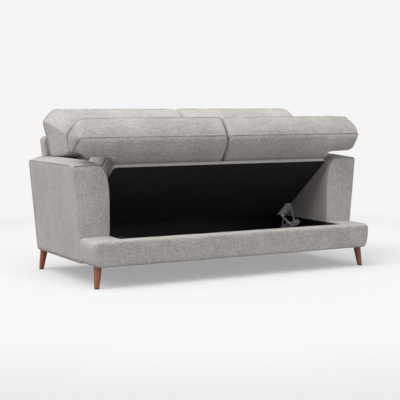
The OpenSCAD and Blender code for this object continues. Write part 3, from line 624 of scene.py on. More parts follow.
def arm_section(y, inset):
    """Outline of the right arm at y, drawn in by inset, as (x, z) pairs."""
    s = sizes()
    half, top, foot = s.seat_half, ARM_HIGH.z - s.arm_crown - ARM_LOW.z, ARM_HIGH.x - s.arm_lean
    out = ARM_HIGH.x
    straight = top - s.curve_h
    bend = 2 / CURVE_POWER
    flat = [(half, straight * i / SIDE_STEPS) for i in range(SIDE_STEPS)]
    flat += [(half + s.curve_w * (1 - max(0.0, cos(a)) ** bend), straight + s.curve_h * sin(a) ** bend)
             for a in quarter(CURVE_STEPS)]
    start, stop = half + s.curve_w, out - s.edge_round
    flat += [(start + (stop - start) * i / TOP_STEPS, top) for i in range(1, TOP_STEPS)]
    flat += [(stop + s.edge_round * sin(a), top - s.edge_round * (1 - cos(a))) for a in quarter(EDGE_STEPS)]
    flat += [(out + (foot - out) * i / 24, (top - s.edge_round) * (1 - i / 24)) for i in range(1, 25)]
    flat += [(foot + (half - foot) * i / 8, 0.0) for i in range(1, 8)]
    depth = ARM_HIGH.y - ARM_LOW.y
    ramp = held((y - ARM_LOW.y) / (depth * ARM_FULL))
    crown = s.front_crown + (s.arm_crown - s.front_crown) * sin(pi / 2 * ramp)
    points = []
    for x, z in flat:
        across = (x - half) / (out - half)
        high = (z / top) ** 8
        side = 1 - 2 * smooth_step((across - 0.05) / 0.55)
        points.append((x + inset / 2 * side, z + high * (crown * sin(pi * min(1, across)) - inset) + ARM_LOW.z))
    return points


def arm_spine(section):
    """For each point of a section, the point of its middle line that it shrinks to."""
    s = sizes()
    low, high = ARM_LOW.z + 0.06, ARM_HIGH.z - s.arm_crown - 0.05
    top = ARM_HIGH.z - s.arm_crown - ARM_LOW.z
    middle = []
    for _x, z in section:
        level = min(high, max(low, z))
        h = level - ARM_LOW.z
        out = ARM_HIGH.x - s.arm_lean * (1 - h / top)
        rise = max(0.0, (h - (top - s.curve_h)) / s.curve_h)
        inner = s.seat_half + s.curve_w * (1 - (1 - rise ** CURVE_POWER) ** (1 / CURVE_POWER))
        middle.append(((inner + out) / 2, level))
    return middle


def arm_piece(name):
    """The right arm: one padded skin with a slightly domed front panel."""
    s = sizes()
    front, back = ARM_LOW.y, ARM_HIGH.y
    edge = arm_section(front, s.front_round)
    spine = arm_spine(edge)
    rings = []
    for keep in (0.06, 0.2, 0.4, 0.6, 0.78, 0.9, 0.97):
        y = front - s.panel_dome * (1 - keep ** 3)
        rings.append([(mx + (x - mx) * keep, y, mz + (z - mz) * keep) for (x, z), (mx, mz) in zip(edge, spine)])
    for a in quarter(6):
        y, inset = front + s.front_round * (1 - cos(a)), s.front_round * (1 - sin(a))
        rings.append([(x, y, z) for x, z in arm_section(y, inset)])
    start = front + s.front_round
    for i in range(1, 49):
        y = start + (back - start) * i / 48
        rings.append([(x, y, z) for x, z in arm_section(y, 0.0)])
    return mesh_piece(name, *skin(rings, ("face", "face")))


def arm_piping_paths():
    """The piping of the right arm: up the front panel's inside, over its top and back along the outer edge."""
    s = sizes()
    turn = radians(PIPING_TURN)
    section = arm_section(ARM_LOW.y, s.front_round * (1 - sin(turn)))
    proud = s.front_round * (1 - cos(turn)) - s.piping * 0.5
    up = [Vector((x, ARM_LOW.y + proud, z)) for x, z in section[:ARM_CORNER]]
    up = [p for p in up if p.z > RAIL_HIGH.z - 0.004]
    back = []
    for i in range(30):
        y = ARM_LOW.y + s.front_round * 0.4 + (ARM_HIGH.y - ARM_LOW.y) * i / 29 * 0.985
        x, z = arm_section(y, s.front_round * max(0.0, 1 - i / 2) * 0.5)[ARM_CORNER]
        back.append(Vector((x + PIPING_OUT, y, z + PIPING_UP)))
    return [(relaxed(up, 2), False), (back, False)]


class SOFA_OT_arms(bpy.types.Operator):
    """Makes both padded arms with their piping"""

    bl_idname = "sofa.arms"
    bl_label = "Arms"

    def execute(self, _context):
        right = arm_piece("arm_padding_right")
        crumple(right, depth=0.0011, pitch=0.16, seed=1)
        left = mirrored("arm_padding_left", right)
        for side, piece in (("right", right), ("left", left)):
            paths = [([Vector((p.x * SIDES[side], p.y, p.z)) for p in line], closed)
                     for line, closed in arm_piping_paths()]
            dress(piece, "Cover fabric", FIXED, "cover_fabric", f"arm_cover_{side}")
            add_piping(f"arm_piping_{side}", paths, sizes().piping, FIXED, "cover_fabric")
        return {"FINISHED"}


def rail_plan(h):
    """Outline of the front rail at a height above its underside."""
    s = sizes()
    tall = RAIL_HIGH.z - RAIL_LOW.z
    low_out, mid_out = ARM_HIGH.x - s.arm_lean - RAIL_IN, ARM_HIGH.x - s.arm_lean + RAIL_OUT
    middle = tall * RAIL_MIDDLE
    share = 1 - h / middle if h < middle else (h - middle) / (tall - middle)
    bulge = (mid_out - low_out) * (1 - share ** 2) ** 0.5
    out = low_out + bulge
    rise = max(0.0, (h - (tall - s.rail_round)) / s.rail_round)
    front = RAIL_LOW.y + s.rail_round * (1 - (1 - min(1.0, rise) ** 2) ** 0.5)
    r = s.rail_corner
    right = [(out - r + r * sin(a), front + r - r * cos(a)) for a in quarter(8)]
    right += [(out, RAIL_HIGH.y - SKIM), (s.seat_half, RAIL_HIGH.y - SKIM), (s.seat_half, RAIL_BACK)]
    return right + [(-x, y) for x, y in reversed(right)]


class SOFA_OT_rail(bpy.types.Operator):
    """Makes the padded front rail with its two ends"""

    bl_idname = "sofa.rail"
    bl_label = "Front rail"

    def execute(self, _context):
        s = sizes()
        tall = RAIL_HIGH.z - RAIL_LOW.z
        heights = [tall * i / 12 for i in range(10)] + [tall - s.rail_round * (1 - sin(a)) for a in quarter(6)]
        rings = [[(x, y, RAIL_LOW.z + h) for x, y in rail_plan(h)] for h in heights]
        piece = mesh_piece("rail_padding", *skin(rings, ("face", "face")))
        remesh(piece, 5)
        crumple(piece, depth=0.0012, pitch=0.12, seed=2)
        dress(piece, "Cover fabric", FIXED, "cover_fabric", "front_rail_cover")
        return {"FINISHED"}


def back_outlines():
    """Outlines of the back's front and rear layers as (x, z) pairs."""
    s = sizes()
    out, high, r = BACK_SHOULDER, BACK_HIGH.z, BACK_ROUND
    low = out - s.arm_lean * (high - ARM_HIGH.z) / ARM_TALL
    shoulder = [(out - r + r * cos(a), high - r + r * sin(a)) for a in quarter(8)]
    top = ARM_HIGH.z - s.arm_crown
    front = [(s.seat_half, BACK_LOW.z), (s.seat_half, ARM_HIGH.z), (low, ARM_HIGH.z)] + shoulder
    edge = s.edge_round
    rear = [(ARM_HIGH.x - s.arm_lean, BACK_LOW.z), (ARM_HIGH.x, top - edge),
            (ARM_HIGH.x - edge * 0.3, top - edge * 0.3), (ARM_HIGH.x - edge, top), (low, ARM_HIGH.z)] + shoulder
    return [line + [(-x, z) for x, z in reversed(line)] for line in (front, rear)]


class SOFA_OT_back(bpy.types.Operator):
    """Makes the padded back with piping round its rear panel"""

    bl_idname = "sofa.back"
    bl_label = "Back"

    def execute(self, _context):
        front, rear = back_outlines()
        place = lambda p, d: (p[0], d, p[1])
        solids = [prism(front, BACK_LOW.y, BACK_HIGH.y, place),
                  prism(rear, ARM_HIGH.y + SKIM, BACK_HIGH.y, place)]
        piece = mesh_piece("back_padding", *joined(solids))
        remesh(piece, 4)
        crumple(piece, depth=0.0012, pitch=0.15, seed=3)
        line = [Vector((x * 0.9985, BACK_HIGH.y - 0.0035, z if z > BACK_LOW.z else z + 0.004)) for x, z in rear]
        dress(piece, "Cover fabric", FIXED, "cover_fabric", "back_cover")
        add_piping("back_piping", [(evened(line, FINE), True)], sizes().piping, FIXED, "cover_fabric")
        return {"FINISHED"}


# ---- Cushions --------------------------------------------------------------

LID_TILT = radians(37.4)
LID_CORNER = Vector((0.0, -0.255, 0.635))  # the open lid's front edge, at its underside
EAR_OUT = ARM_HIGH.x - 0.028

# The seat cushion: its seams' levels above the lid, its nose over the lid's front and the tuck under it, the ear
# in front of the arm, and its body between the arms. What ends in TAPER draws in below the low seam.
SEAM_LOW, SEAM_HIGH, SEAT_BASE, SEAT_CROWN = 0.107, 0.236, 0.020, 0.014
NOSE, NOSE_TAPER, END_TAPER, END_TIP = 0.131, 0.130, 0.040, 0.009
TUCK, TUCK_DEEP, TUCK_FADE = 0.013, 0.028, 0.140
EAR_BACK, EAR_DEEP, EAR_FADE, EAR_LIFT, EAR_LIFT_OUT, EAR_DROP = 0.003, 0.045, 0.360, 0.028, 0.032, 0.008
EAR_BASE = 0.8  # share by which the ear's underside is flatter than the body's
SEAT_SWELL, END_SWELL, CROWN_IN = 0.012, 0.022, 0.044
SEAT_R, EAR_R, BODY_LONG, BODY_GAP, PAIR_GAP = 0.026, 0.020, 0.585, 0.022, 0.007
SEAT_RESTS = 3  # how many of its first rings lie on the lid

# The back cushion: its lean, its room, its ear over the arm and how its front is smaller than its back.
PILLOW_LEAN = radians(9.1)
PILLOW_TALL, PILLOW_THICK, PILLOW_OUT = 0.417, 0.188, ARM_HIGH.x - 0.067
PILLOW_LOW = ARM_HIGH.z - ARM_CROWN - 0.118
PILLOW_BACK = BACK_LOW.y - (BACK_HIGH.z - PILLOW_LOW) * sin(PILLOW_LEAN) / cos(PILLOW_LEAN)
PILLOW_DROP, PILLOW_LIFT, PILLOW_TAPER, PILLOW_DRAW = 0.117, 0.118, 0.060, 0.038
PILLOW_TOP_R, PILLOW_R, PILLOW_ROLL, PILLOW_GAP = 0.074, 0.014, 0.007, 0.010
PILLOW_CHAMFER = 1.75  # power that flattens the rounding of its corners
PILLOW_SEAM = 4  # ring of its rear seam, counted from the rim of its back face
PILLOW_ROLLED = 0.04  # share of its thickness in which its back edge is rolled

# The filling and the cloth of both
PRESSURE = 8.0
SEAM_FINE = 0.008  # spacing of points along their piping
DENT, DENT_PITCH = 0.0020, 0.13
CREASE, CREASE_WIDTH, PUCKER, PUCKERS = 0.0014, 0.008, 0.0034, 38.0


def lid_place(x, v, w):
    """A point in the lid's own frame, v back along its underside and w up from it."""
    return Vector((x, LID_CORNER.y + v * cos(LID_TILT) + w * sin(LID_TILT),
                   LID_CORNER.z - v * sin(LID_TILT) + w * cos(LID_TILT)))


def pillow_place(x, v, q):
    """A point in a back cushion's leaning frame, -v up its back face and q forward from it."""
    return Vector((x, PILLOW_BACK - v * sin(PILLOW_LEAN) - q * cos(PILLOW_LEAN),
                   PILLOW_LOW - v * cos(PILLOW_LEAN) + q * sin(PILLOW_LEAN)))


def turn_points(cx, cv, r, start, turn, steps=6, power=1.0):
    """A rounded corner; a power over 1 flattens it to a chamfer."""
    angles = [radians(start + turn * k / steps) for k in range(steps + 1)]
    bent = lambda value: copysign(abs(value) ** power, value)
    return [(cx + r * bent(cos(a)), cv + r * bent(sin(a))) for a in angles]


def run_points(p, q, swell, steps):
    """Points strictly between two others, bowed by swell in the middle."""
    points = []
    for k in range(1, steps):
        t = k / steps
        bow = 4 * t * (1 - t)
        points.append((p[0] + (q[0] - p[0]) * t + swell[0] * bow, p[1] + (q[1] - p[1]) * t + swell[1] * bow))
    return points


def ear_outline(x_end, x_side, x_in, v_front, v_ear, v_rear, r, r_end, swell, out, power=1.0):
    """Outline of the left cushion with its ear, evenly filled with points."""
    small = r / 2
    turns = [
        turn_points(x_end + r_end, v_front + r_end, r_end, 180, 90, 10, power),
        turn_points(x_in - r, v_front + r, r, 270, 90),
        turn_points(x_in - r, v_rear - r, r, 0, 90),
        turn_points(x_side + r, v_rear - r, r, 90, 90),
        turn_points(x_side - small, v_ear + small, small, 0, -90),
        turn_points(x_end + small, v_ear - small, small, 90, 90),
    ]
    swells = [(0, -swell), (0, 0), (0, swell / 2), (-swell / 2, 0), (0, 0), (-out, 0)]
    steps = [112, 84, 84, 64, 20, 16]
    points = []
    for i, turned in enumerate(turns):
        points += turned + run_points(turned[-1], turns[(i + 1) % 6][0], swells[i], steps[i])
    return points


def seat_ring(w, taper=0.0, swell=0.0, crown=0.0, lift=0.0, tuck=0.0):
    """One ring of the left seat cushion at height w above the lid's underside.

    taper draws it in below the low seam, swell bows it out between the seams, crown draws it in over the top,
    lift raises the ear's rear over the arm and tuck pulls the front in over the lid. All but tuck are shares.
    """
    seat_half = sizes().seat_half
    small, drop, out = END_TAPER * 0.2, CROWN_IN * crown, END_SWELL * swell
    level = held((w - SEAM_LOW) / (SEAM_HIGH - SEAM_LOW))
    v_front = -NOSE + NOSE_TAPER * taper + drop - SEAT_SWELL / 2 * swell
    v_ear = EAR_BACK - small * 2 * taper - drop
    v_tip = v_front - EAR_DEEP * taper
    outline = ear_outline(
        -EAR_OUT - END_TIP * (1 - 2 * level) + END_TAPER * taper ** 0.6 + drop - out * 0.6,
        -seat_half + BODY_GAP + small * taper + drop,
        -PAIR_GAP / 2 - small * taper - drop,
        v_tip, v_ear, BODY_LONG - small * taper - drop,
        SEAT_R, EAR_R + EAR_R * level, SEAT_SWELL / 2 * swell, out * 0.4)
    ring = []
    for x, v in outline:
        past = held((-x - seat_half) / (EAR_OUT - seat_half))
        ear = held((-x - seat_half + BODY_GAP) / (SEAT_R / 2))
        back = smooth_step((v + NOSE / 2) / (NOSE / 2))
        rise = lift * ear * back * (EAR_LIFT + EAR_LIFT_OUT * past)
        fall = (1 - lift) * EAR_DROP * past * past * level
        inner = held((x + seat_half - BODY_GAP) / small)
        v += (v_front - v_tip) * inner * held(1 - (v - v_tip) / EAR_FADE)
        v += tuck * inner * held(1 - v / TUCK_FADE)
        rise += EAR_BASE * ear * max(0.0, SEAT_BASE + TUCK - w)
        ring.append((x, v, w + rise - fall))
    return ring


def pillow_ring(t):
    """One ring of the left back cushion at a share t of its thickness from its back face."""
    seat_half = sizes().seat_half
    ear_low = (ARM_HIGH.z - PILLOW_LOW) / cos(PILLOW_LEAN)
    q = PILLOW_THICK * t
    roll = PILLOW_ROLL * held(1 - t / PILLOW_ROLLED)
    high = PILLOW_TALL - PILLOW_DROP * t ** 2.2 - roll
    low = PILLOW_LIFT * t ** 1.35 + roll
    ear = ear_low - q * sin(PILLOW_LEAN) / cos(PILLOW_LEAN) + PILLOW_LIFT / 4 * t ** 4
    outline = ear_outline(
        -PILLOW_OUT + PILLOW_TAPER * t ** 2.5 + roll,
        -seat_half + PILLOW_GAP + PILLOW_DRAW / 2 * t ** 2 + roll,
        -PAIR_GAP / 2 - PILLOW_GAP * t ** 3,
        -high, -ear, -low, 2 * PILLOW_R, PILLOW_TOP_R - PILLOW_DROP * t ** 3 / 8, 0, 0, PILLOW_CHAMFER)
    ring = []
    for x, v in outline:
        past = held((-x - seat_half) / (PILLOW_OUT - seat_half))
        up = held((-v - ear) / (PILLOW_TALL - PILLOW_TOP_R - ear_low))
        ring.append((x + PILLOW_DRAW * past * (1 - up), v, q))
    return ring


def towards(ring, centre, steps=12):
    """Rings that close a cushion's face, from its rim in to near its centre."""
    inner = []
    for k in range(1, steps):
        keep = (1 - k / steps) ** 0.9
        inner.append([tuple(c + (a - c) * keep for a, c in zip(p, centre)) for p in ring])
    return inner


def seat_rings():
    """The seat cushion's rings from its underside's rim to the middle of its top.

    With them come the numbers of its two seams' rings and how many of the first rings the filling can't move.
    """
    body = [seat_ring(SEAT_BASE + rise, taper=1, lift=1, tuck=TUCK_DEEP) for rise in (0.0, TUCK * 0.8)]
    start = SEAT_BASE + TUCK
    body += [seat_ring(start + (SEAM_LOW - SEAT_BASE - TUCK) * t, taper=1 - sin(pi / 2 * t), lift=1 - t)
             for t in (k / 9 for k in range(9))]
    low = len(body)
    body += [seat_ring(SEAM_LOW + (SEAM_HIGH - SEAM_LOW) * t, swell=sin(pi * t)) for t in (k / 14 for k in range(15))]
    high = len(body) - 1
    body += [seat_ring(SEAM_HIGH + SEAT_CROWN * sin(a), crown=1 - cos(a)) for a in quarter(6)[1:]]
    centre = (-sizes().seat_half * 0.85, -NOSE * 0.18)
    over = towards(body[-1], (*centre, SEAM_HIGH + SEAT_CROWN))
    rings = [[lid_place(*p) for p in ring] for ring in body + over]
    return rings, [low, high], SEAT_RESTS


def pillow_rings():
    """The same of the back cushion, from the middle of its back face to the middle of its front."""
    body = [pillow_ring(t) for t in (0.0, PILLOW_ROLLED / 2, PILLOW_ROLLED)]
    body += [pillow_ring(PILLOW_ROLLED + (1 - PILLOW_ROLLED) * k / 20) for k in range(1, 21)]
    ear_low = (ARM_HIGH.z - PILLOW_LOW) / cos(PILLOW_LEAN)
    centre = (-sizes().seat_half / 2, -(ear_low + PILLOW_TALL) / 2)
    under = towards(body[0], (*centre, 0.0))[::-1]
    over = towards(body[-1], (*centre, PILLOW_THICK))
    rings = [[pillow_place(*p) for p in ring] for ring in under + body + over]
    rear_seam = len(under) + PILLOW_SEAM
    return rings, [rear_seam, len(under) + len(body) - 1], rear_seam


def fill_cushion(piece, cap, frames=20):
    """Fills the piece with air as cloth, and lets every point swell outward by no more than cap."""
    change = piece.modifiers.new("Filling", "CLOTH")
    cloth = change.settings
    cloth.quality = 5
    cloth.mass = 0.3
    cloth.tension_stiffness = cloth.compression_stiffness = 10.0
    cloth.shear_stiffness = 6.0
    cloth.bending_stiffness = 1.2
    cloth.use_pressure = True
    cloth.uniform_pressure_force = PRESSURE
    cloth.vertex_group_mass = "held"
    cloth.effector_weights.gravity = 0.0
    change.collision_settings.use_collision = False
    change.collision_settings.use_self_collision = False
    change.point_cache.frame_start = 1
    change.point_cache.frame_end = frames
    scene = bpy.context.scene
    for number in range(1, frames + 1):
        scene.frame_set(number)
    deps = bpy.context.evaluated_depsgraph_get()
    filled = [v.co.copy() for v in piece.evaluated_get(deps).data.vertices]
    piece.modifiers.remove(change)
    normals = [v.normal.copy() for v in piece.data.vertices]
    for vertex, normal, place in zip(piece.data.vertices, normals, filled):
        vertex.co += normal * min(cap, max(0.0, (place - vertex.co).dot(normal)))
    piece.data.update()
    scene.frame_set(1)
    return piece


def close_holes(piece):
    """Closes each open rim of the piece with one face."""
    work = bmesh.new()
    work.from_mesh(piece.data)
    bmesh.ops.holes_fill(work, edges=[e for e in work.edges if e.is_boundary], sides=0)
    bmesh.ops.recalc_face_normals(work, faces=work.faces[:])
    for face in work.faces:
        face.smooth = True
    work.to_mesh(piece.data)
    work.free()
    piece.data.update()


def crease(piece, seams, seed):
    """Draws the cloth in beside its seams, with small puckers that fade away from them."""
    shift = Vector((seed * 2.3, seed * 5.1, seed))
    points = [p for seam in seams for p in seam]
    near = KDTree(len(points))
    for i, p in enumerate(points):
        near.insert(p, i)
    near.balance()

    def rule(point, normal):
        _place, _index, gap = near.find(point)
        move = -CREASE * exp(-(((gap - CREASE_WIDTH) / (CREASE_WIDTH * 0.8)) ** 2))
        ripple = noise.noise(point * PUCKERS + shift)
        move += PUCKER * ripple * exp(-gap / (CREASE_WIDTH * 6)) * held(gap / CREASE_WIDTH)
        return normal * move

    return move_points(piece, rule)


def soft_cushion(name, node, rings, seams, resting, seed):
    """A padded piece: its skin filled as cloth between its seams, creased along them and kept in its room."""
    s = sizes()
    first = "open" if node.startswith("seat") else "fan"
    piece = mesh_piece(name, *skin(rings, (first, "fan")), merge=1e-7)
    lines = [rings[number] for number in seams]
    spot = lambda p: tuple(round(c, 6) for c in p)
    still = {spot(p) for line in lines + rings[:resting] for p in line}
    group = piece.vertex_groups.new(name="held")
    group.add([v.index for v in piece.data.vertices if spot(v.co) in still], 1.0, "REPLACE")
    fill_cushion(piece, s.swell)
    close_holes(piece)
    crumple(piece, DENT, DENT_PITCH, seed)
    crease(piece, lines, seed)
    keep_within(piece, tree_of(node), 2 * s.proud)
    piece.vertex_groups.clear()
    return piece, lines


def finish_cushions(kind, node, finish, body, made, first_seed, radii):
    """Makes both cushions of a kind with the piping in their seams, and gives them their finish."""
    rings, seams, resting = made
    for number, side in enumerate(SIDES):
        turned = [[Vector((-SIDES[side] * p.x, p.y, p.z)) for p in ring] for ring in rings]
        piece, lines = soft_cushion(
            f"{kind}_padding_{side}", f"{node}_{side}", turned, seams, resting, first_seed + number)
        for seam, (line, radius) in enumerate(zip(lines, radii)):
            add_piping(f"{kind}_piping_{side}_{seam}", [(evened(line, SEAM_FINE), True)], radius, body,
                       "cushion_fabric")
        dress(piece, finish, body, "cushion_fabric", f"{node}_{side}")


class SOFA_OT_seat_cushions(bpy.types.Operator):
    """Makes the two seat cushions that ride on the lid"""

    bl_idname = "sofa.seat_cushions"
    bl_label = "Seat cushions"

    def execute(self, _context):
        radius = sizes().piping
        finish_cushions("seat", "seat_cushion", "Seat fabric painted shade", LID, seat_rings(), 11, (radius, radius * 0.5))
        return {"FINISHED"}


class SOFA_OT_back_cushions(bpy.types.Operator):
    """Makes the two loose back cushions"""

    bl_idname = "sofa.back_cushions"
    bl_label = "Back cushions"

    def execute(self, _context):
        radius = sizes().piping
        finish_cushions("pillow", "back_cushion", "Cushion fabric painted light", FIXED, pillow_rings(), 21,
                        (radius * 0.8, radius * 0.8))
        return {"FINISHED"}


# ---- Lid and box -----------------------------------------------------------

LID_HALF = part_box("lid_edge_band")[1].x
LID_LONG, LID_THICK, LID_ROUND = 0.606, 0.020, 0.022
BAND, LINING = 0.003, 0.002  # thickness of the fabric round the lid's edge and of the lining
STAPLE = {"Length": 0.011, "Thickness": 0.0010}
STAPLE_IN = 0.012  # from the lid's edge


def lid_rim(inset, r, steps=8):
    """Outline of the lid with rounded corners, drawn in by inset, as (x, v) pairs."""
    half, low, high = LID_HALF - inset, inset, LID_LONG - inset
    points = []
    for cx, cv, start in ((half - r, high - r, 0), (-half + r, high - r, 90), (-half + r, low + r, 180),
                          (half - r, low + r, 270)):
        for i in range(steps + 1):
            a = radians(start + 90 * i / steps)
            points.append((cx + r * cos(a), cv + r * sin(a)))
    return points


class SOFA_OT_lid(bpy.types.Operator):
    """Makes the lid's board, its fabric edge and the black lining with its staples"""

    bl_idname = "sofa.lid"
    bl_label = "Lid"

    def execute(self, _context):
        rings = []
        for i in range(9):
            a = pi * i / 8
            pull, w = BAND * 0.9 * (1 - sin(a)), LID_THICK / 2 * (1 - cos(a))
            rings.append([lid_place(x, v, w) for x, v in lid_rim(pull, LID_ROUND - pull)])
        inside = lid_rim(BAND * 2.2, LID_ROUND - BAND * 2)
        rings += [[lid_place(x, v, w) for x, v in inside] for w in (LID_THICK, 0.0)]
        band = mesh_piece("lid_band", *skin(rings + rings[:1], ("open", "open")))
        place = lambda p, d: lid_place(p[0], p[1], d)
        sheet, cloth = lid_rim(BAND * 2, LID_ROUND - BAND), lid_rim(BAND, LID_ROUND - BAND)
        board = mesh_piece("lid_plywood", *prism(sheet, LINING, LID_THICK - 0.0002, place))
        under = mesh_piece("lid_black_lining", *prism(cloth, -0.0004, LINING, place))
        for flat in (board, under):
            flat.data.shade_flat()
        edge = [lid_place(x, v, -0.0006) for x, v in lid_rim(STAPLE_IN, LID_ROUND * 0.6)]
        staples = along("lid_staples", "Staples along a path", [(edge, True)], Spacing=0.045, Seed=5, **STAPLE)
        dress(band, "Band fabric", LID, "cover_fabric", "lid_edge_band")
        dress(board, "Raw timber", LID, "timber", "lid_board")
        dress(under, "Black cloth", LID, "black_cloth", "lid_lining")
        dress(staples, "Blackened steel", LID, "zinc_steel")
        return {"FINISHED"}


class SOFA_OT_dust_cover(bpy.types.Operator):
    """Makes the black cloth under the sofa with its staples"""

    bl_idname = "sofa.dust_cover"
    bl_label = "Dust cover"

    def execute(self, _context):
        low, high = DUST_LOW, DUST_HIGH
        across, deep = 96, 44
        points, faces = [], []
        for level, side in ((high.z, 0), (low.z, 1)):
            for i in range(across + 1):
                for j in range(deep + 1):
                    x, y = low.x + (high.x - low.x) * i / across, low.y + (high.y - low.y) * j / deep
                    sag = sin(pi * i / across) * sin(pi * j / deep)
                    dip = 0.004 * sag ** 0.5 + 0.0012 * noise.noise(Vector((x * 9, y * 9, 3.0))) * sag
                    points.append((x, y, level - (dip if side else min(dip, SKIM))))
        row = deep + 1
        layer = (across + 1) * row
        for i in range(across):
            for j in range(deep):
                a = i * row + j
                faces.append((a, a + row, a + row + 1, a + 1))
                faces.append(tuple(layer + k for k in (a, a + 1, a + row + 1, a + row)))
        rim = [i * row for i in range(across)] + [across * row + j for j in range(deep)]
        rim += [i * row + deep for i in range(across, 0, -1)] + [j for j in range(deep, 0, -1)]
        faces += [(a, b, b + layer, a + layer) for a, b in zip(rim, rim[1:] + rim[:1])]
        piece = mesh_piece("underside_cloth", points, faces)
        inset = 0.009
        left, right, front, back = low.x + inset, high.x - inset, low.y + inset, high.y - inset
        edge = [Vector((x, y, low.z - 0.0004))
                for x, y in ((left, front), (right, front), (right, back), (left, back))]
        staples = along("underside_staples", "Staples along a path", [(evened(edge, 0.01), True)],
                        Spacing=0.04, Seed=7, **STAPLE)
        dress(piece, "Black cloth", FIXED, "black_cloth", "dust_cover")
        dress(staples, "Blackened steel", FIXED, "zinc_steel")
        return {"FINISHED"}


# ---- Solids that stay ------------------------------------------------------


def refine(node, width, finish):
    """Softens a solid's sharp edges with modifiers, and paints it."""
    piece = frame["nodes"][node]
    if width:
        piece.modifiers.new("Merged", "WELD").merge_threshold = WELD
        edge = piece.modifiers.new("Soft edges", "BEVEL")
        edge.width = width
        edge.segments = 2
        edge.limit_method = "ANGLE"
        edge.angle_limit = radians(35)
        edge.harden_normals = True
    piece.data.materials.clear()
    piece.data.materials.append(material_of(finish))


class SOFA_OT_fittings(bpy.types.Operator):
    """Finishes the legs, the lift mechanism, the box and the timber"""

    bl_idname = "sofa.fittings"
    bl_label = "Legs, steel and boards"

    def execute(self, _context):
        finishes = {"timber": "Raw timber", "black_board": "Black board", "rubber": "Black rubber",
                    "leg_wood": "Leg wood", "zinc_steel": "Zinc plate"}
        widths = {"leg_wood": 0.0018, "zinc_steel": 0.0003}
        for row in frame["record"]["subparts"]:
            slot = row["material_slot"]
            node = frame["nodes"][row["node"]]
            if slot in finishes and not node.hide_render:
                refine(row["node"], widths.get(slot, 0.0), finishes[slot])
        return {"FINISHED"}


# ---- Stage -----------------------------------------------------------------

FLOOR_R = 9.0
FLOOR_GLOW = (0.328, 0.328, 0.328)
SKY = (0.36, 0.363, 0.37)  # light from all round


def background_material(name, tint, glow, fade_from, fade_to):
    """Pale floor that keeps a soft shadow, and fades into the background further out."""
    material = bpy.data.materials.new(name)
    material.use_nodes = True
    tree = material.node_tree
    shader = tree.nodes["Principled BSDF"]
    seen = tree.nodes.new("ShaderNodeLightPath").outputs["Is Camera Ray"]
    inputs = {"Roughness": 0.9, "Specular IOR Level": 0.0, "Emission Strength": 1.0,
              "Base Color": mix(tree, seen, (0.30, 0.30, 0.30), tint),
              "Emission Color": mix(tree, seen, (0.0, 0.0, 0.0), glow)}
    for key, value in inputs.items():
        feed(tree, shader.inputs[key], value)
    where = tree.nodes.new("ShaderNodeTexCoord").outputs["Object"]
    far = put(tree, "ShaderNodeVectorMath", {0: where}, operation="LENGTH").outputs["Value"]
    clear = tree.nodes.new("ShaderNodeBsdfTransparent").outputs[0]
    blend = put(tree, "ShaderNodeMixShader", {
        0: spread(tree, far, fade_from, fade_to), 1: shader.outputs[0], 2: clear})
    feed(tree, tree.nodes["Material Output"].inputs["Surface"], blend.outputs[0])
    return material


def add_sun(name, from_where, strength, spread_degrees):
    """Even, very soft light from one direction."""
    lamp = bpy.data.lights.new(name, "SUN")
    lamp.energy, lamp.angle = strength, radians(spread_degrees)
    holder = bpy.data.objects.new(name, lamp)
    bpy.context.scene.collection.objects.link(holder)
    holder.location = Vector(from_where) * 3
    holder.rotation_euler = (-Vector(from_where)).to_track_quat("-Z", "Y").to_euler()


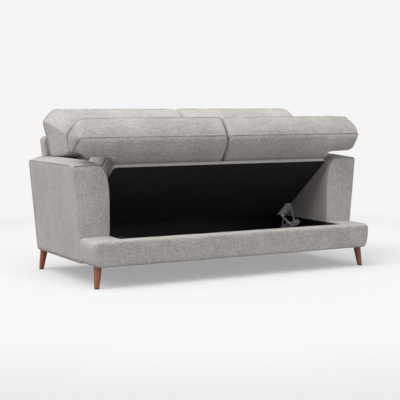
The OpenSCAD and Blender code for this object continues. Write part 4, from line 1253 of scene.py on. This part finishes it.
class SOFA_OT_stage(bpy.types.Operator):
    """Makes the camera, the floor and the soft light"""

    bl_idname = "sofa.stage"
    bl_label = "Stage"

    def execute(self, _context):
        scene = bpy.context.scene
        tints = colours()
        lens = bpy.data.cameras.new("Camera")
        lens.lens, lens.sensor_width = 95.82, 36.0
        lens.clip_start, lens.clip_end = 0.1, 200.0
        camera = bpy.data.objects.new("Camera", lens)
        scene.collection.objects.link(camera)
        camera.location = (-3.091, -5.5395, 0.982)
        camera.rotation_euler = (radians(84.811), 0.0, radians(-28.931))
        scene.camera = camera

        rim = [(cos(a * pi / 32), sin(a * pi / 32)) for a in range(64)]
        floor = mesh_piece("floor", *skin([[(FLOOR_R * x, FLOOR_R * y, z) for x, y in rim] for z in (-0.02, 0.0)]))
        floor.data.shade_flat()
        floor.data.materials.append(background_material("Pale floor", tints.floor, FLOOR_GLOW, 2.0, 4.5))

        world = bpy.data.worlds.new("Studio")
        scene.world = world
        world.use_nodes = True
        tree = world.node_tree
        shade = tree.nodes["Background"]
        path = tree.nodes.new("ShaderNodeLightPath").outputs
        seen = maths(tree, "ADD", path["Is Camera Ray"], path["Is Glossy Ray"])
        seen = maths(tree, "ADD", seen, path["Is Transmission Ray"], clamp=True)
        feed(tree, shade.inputs["Color"], mix(tree, seen, SKY, tints.backdrop))
        shade.inputs["Strength"].default_value = 1.0

        add_sun("top", (-0.25, -0.10, 1.0), 2.15, 70)
        add_sun("left", (-1.0, -0.10, 0.95), 1.45, 45)
        add_sun("front", (0.15, -1.0, 0.50), 0.7, 70)
        scene.view_settings.view_transform = "Standard"
        return {"FINISHED"}


PIECE_OPERATORS = (SOFA_OT_rail, SOFA_OT_arms, SOFA_OT_back, SOFA_OT_seat_cushions, SOFA_OT_back_cushions,
                   SOFA_OT_lid, SOFA_OT_dust_cover, SOFA_OT_fittings, SOFA_OT_stage)


class SOFA_PT_panel(bpy.types.Panel):
    """Lists the sofa's pieces, sizes and colours"""

    bl_label = "Storage sofa"
    bl_idname = "SOFA_PT_panel"
    bl_space_type = "VIEW_3D"
    bl_region_type = "UI"
    bl_category = "Sofa"

    def draw(self, context):
        for operator in PIECE_OPERATORS:
            self.layout.operator(operator.bl_idname)
        for group in (context.scene.sofa_sizes, context.scene.sofa_colours):
            box = self.layout.box()
            for name in group.__annotations__:
                box.prop(group, name)


CLASSES = (SofaSizes, SofaColours, *PIECE_OPERATORS, SOFA_PT_panel)


def register():
    for kind in CLASSES:
        bpy.utils.register_class(kind)
    bpy.types.Scene.sofa_sizes = bpy.props.PointerProperty(type=SofaSizes)
    bpy.types.Scene.sofa_colours = bpy.props.PointerProperty(type=SofaColours)


def unregister():
    del bpy.types.Scene.sofa_sizes
    del bpy.types.Scene.sofa_colours
    for kind in reversed(CLASSES):
        bpy.utils.unregister_class(kind)


def main():
    register()
    for operator in PIECE_OPERATORS:
        group, name = operator.bl_idname.split(".")
        getattr(getattr(bpy.ops, group), name)()


if __name__ == "__main__":
    main()
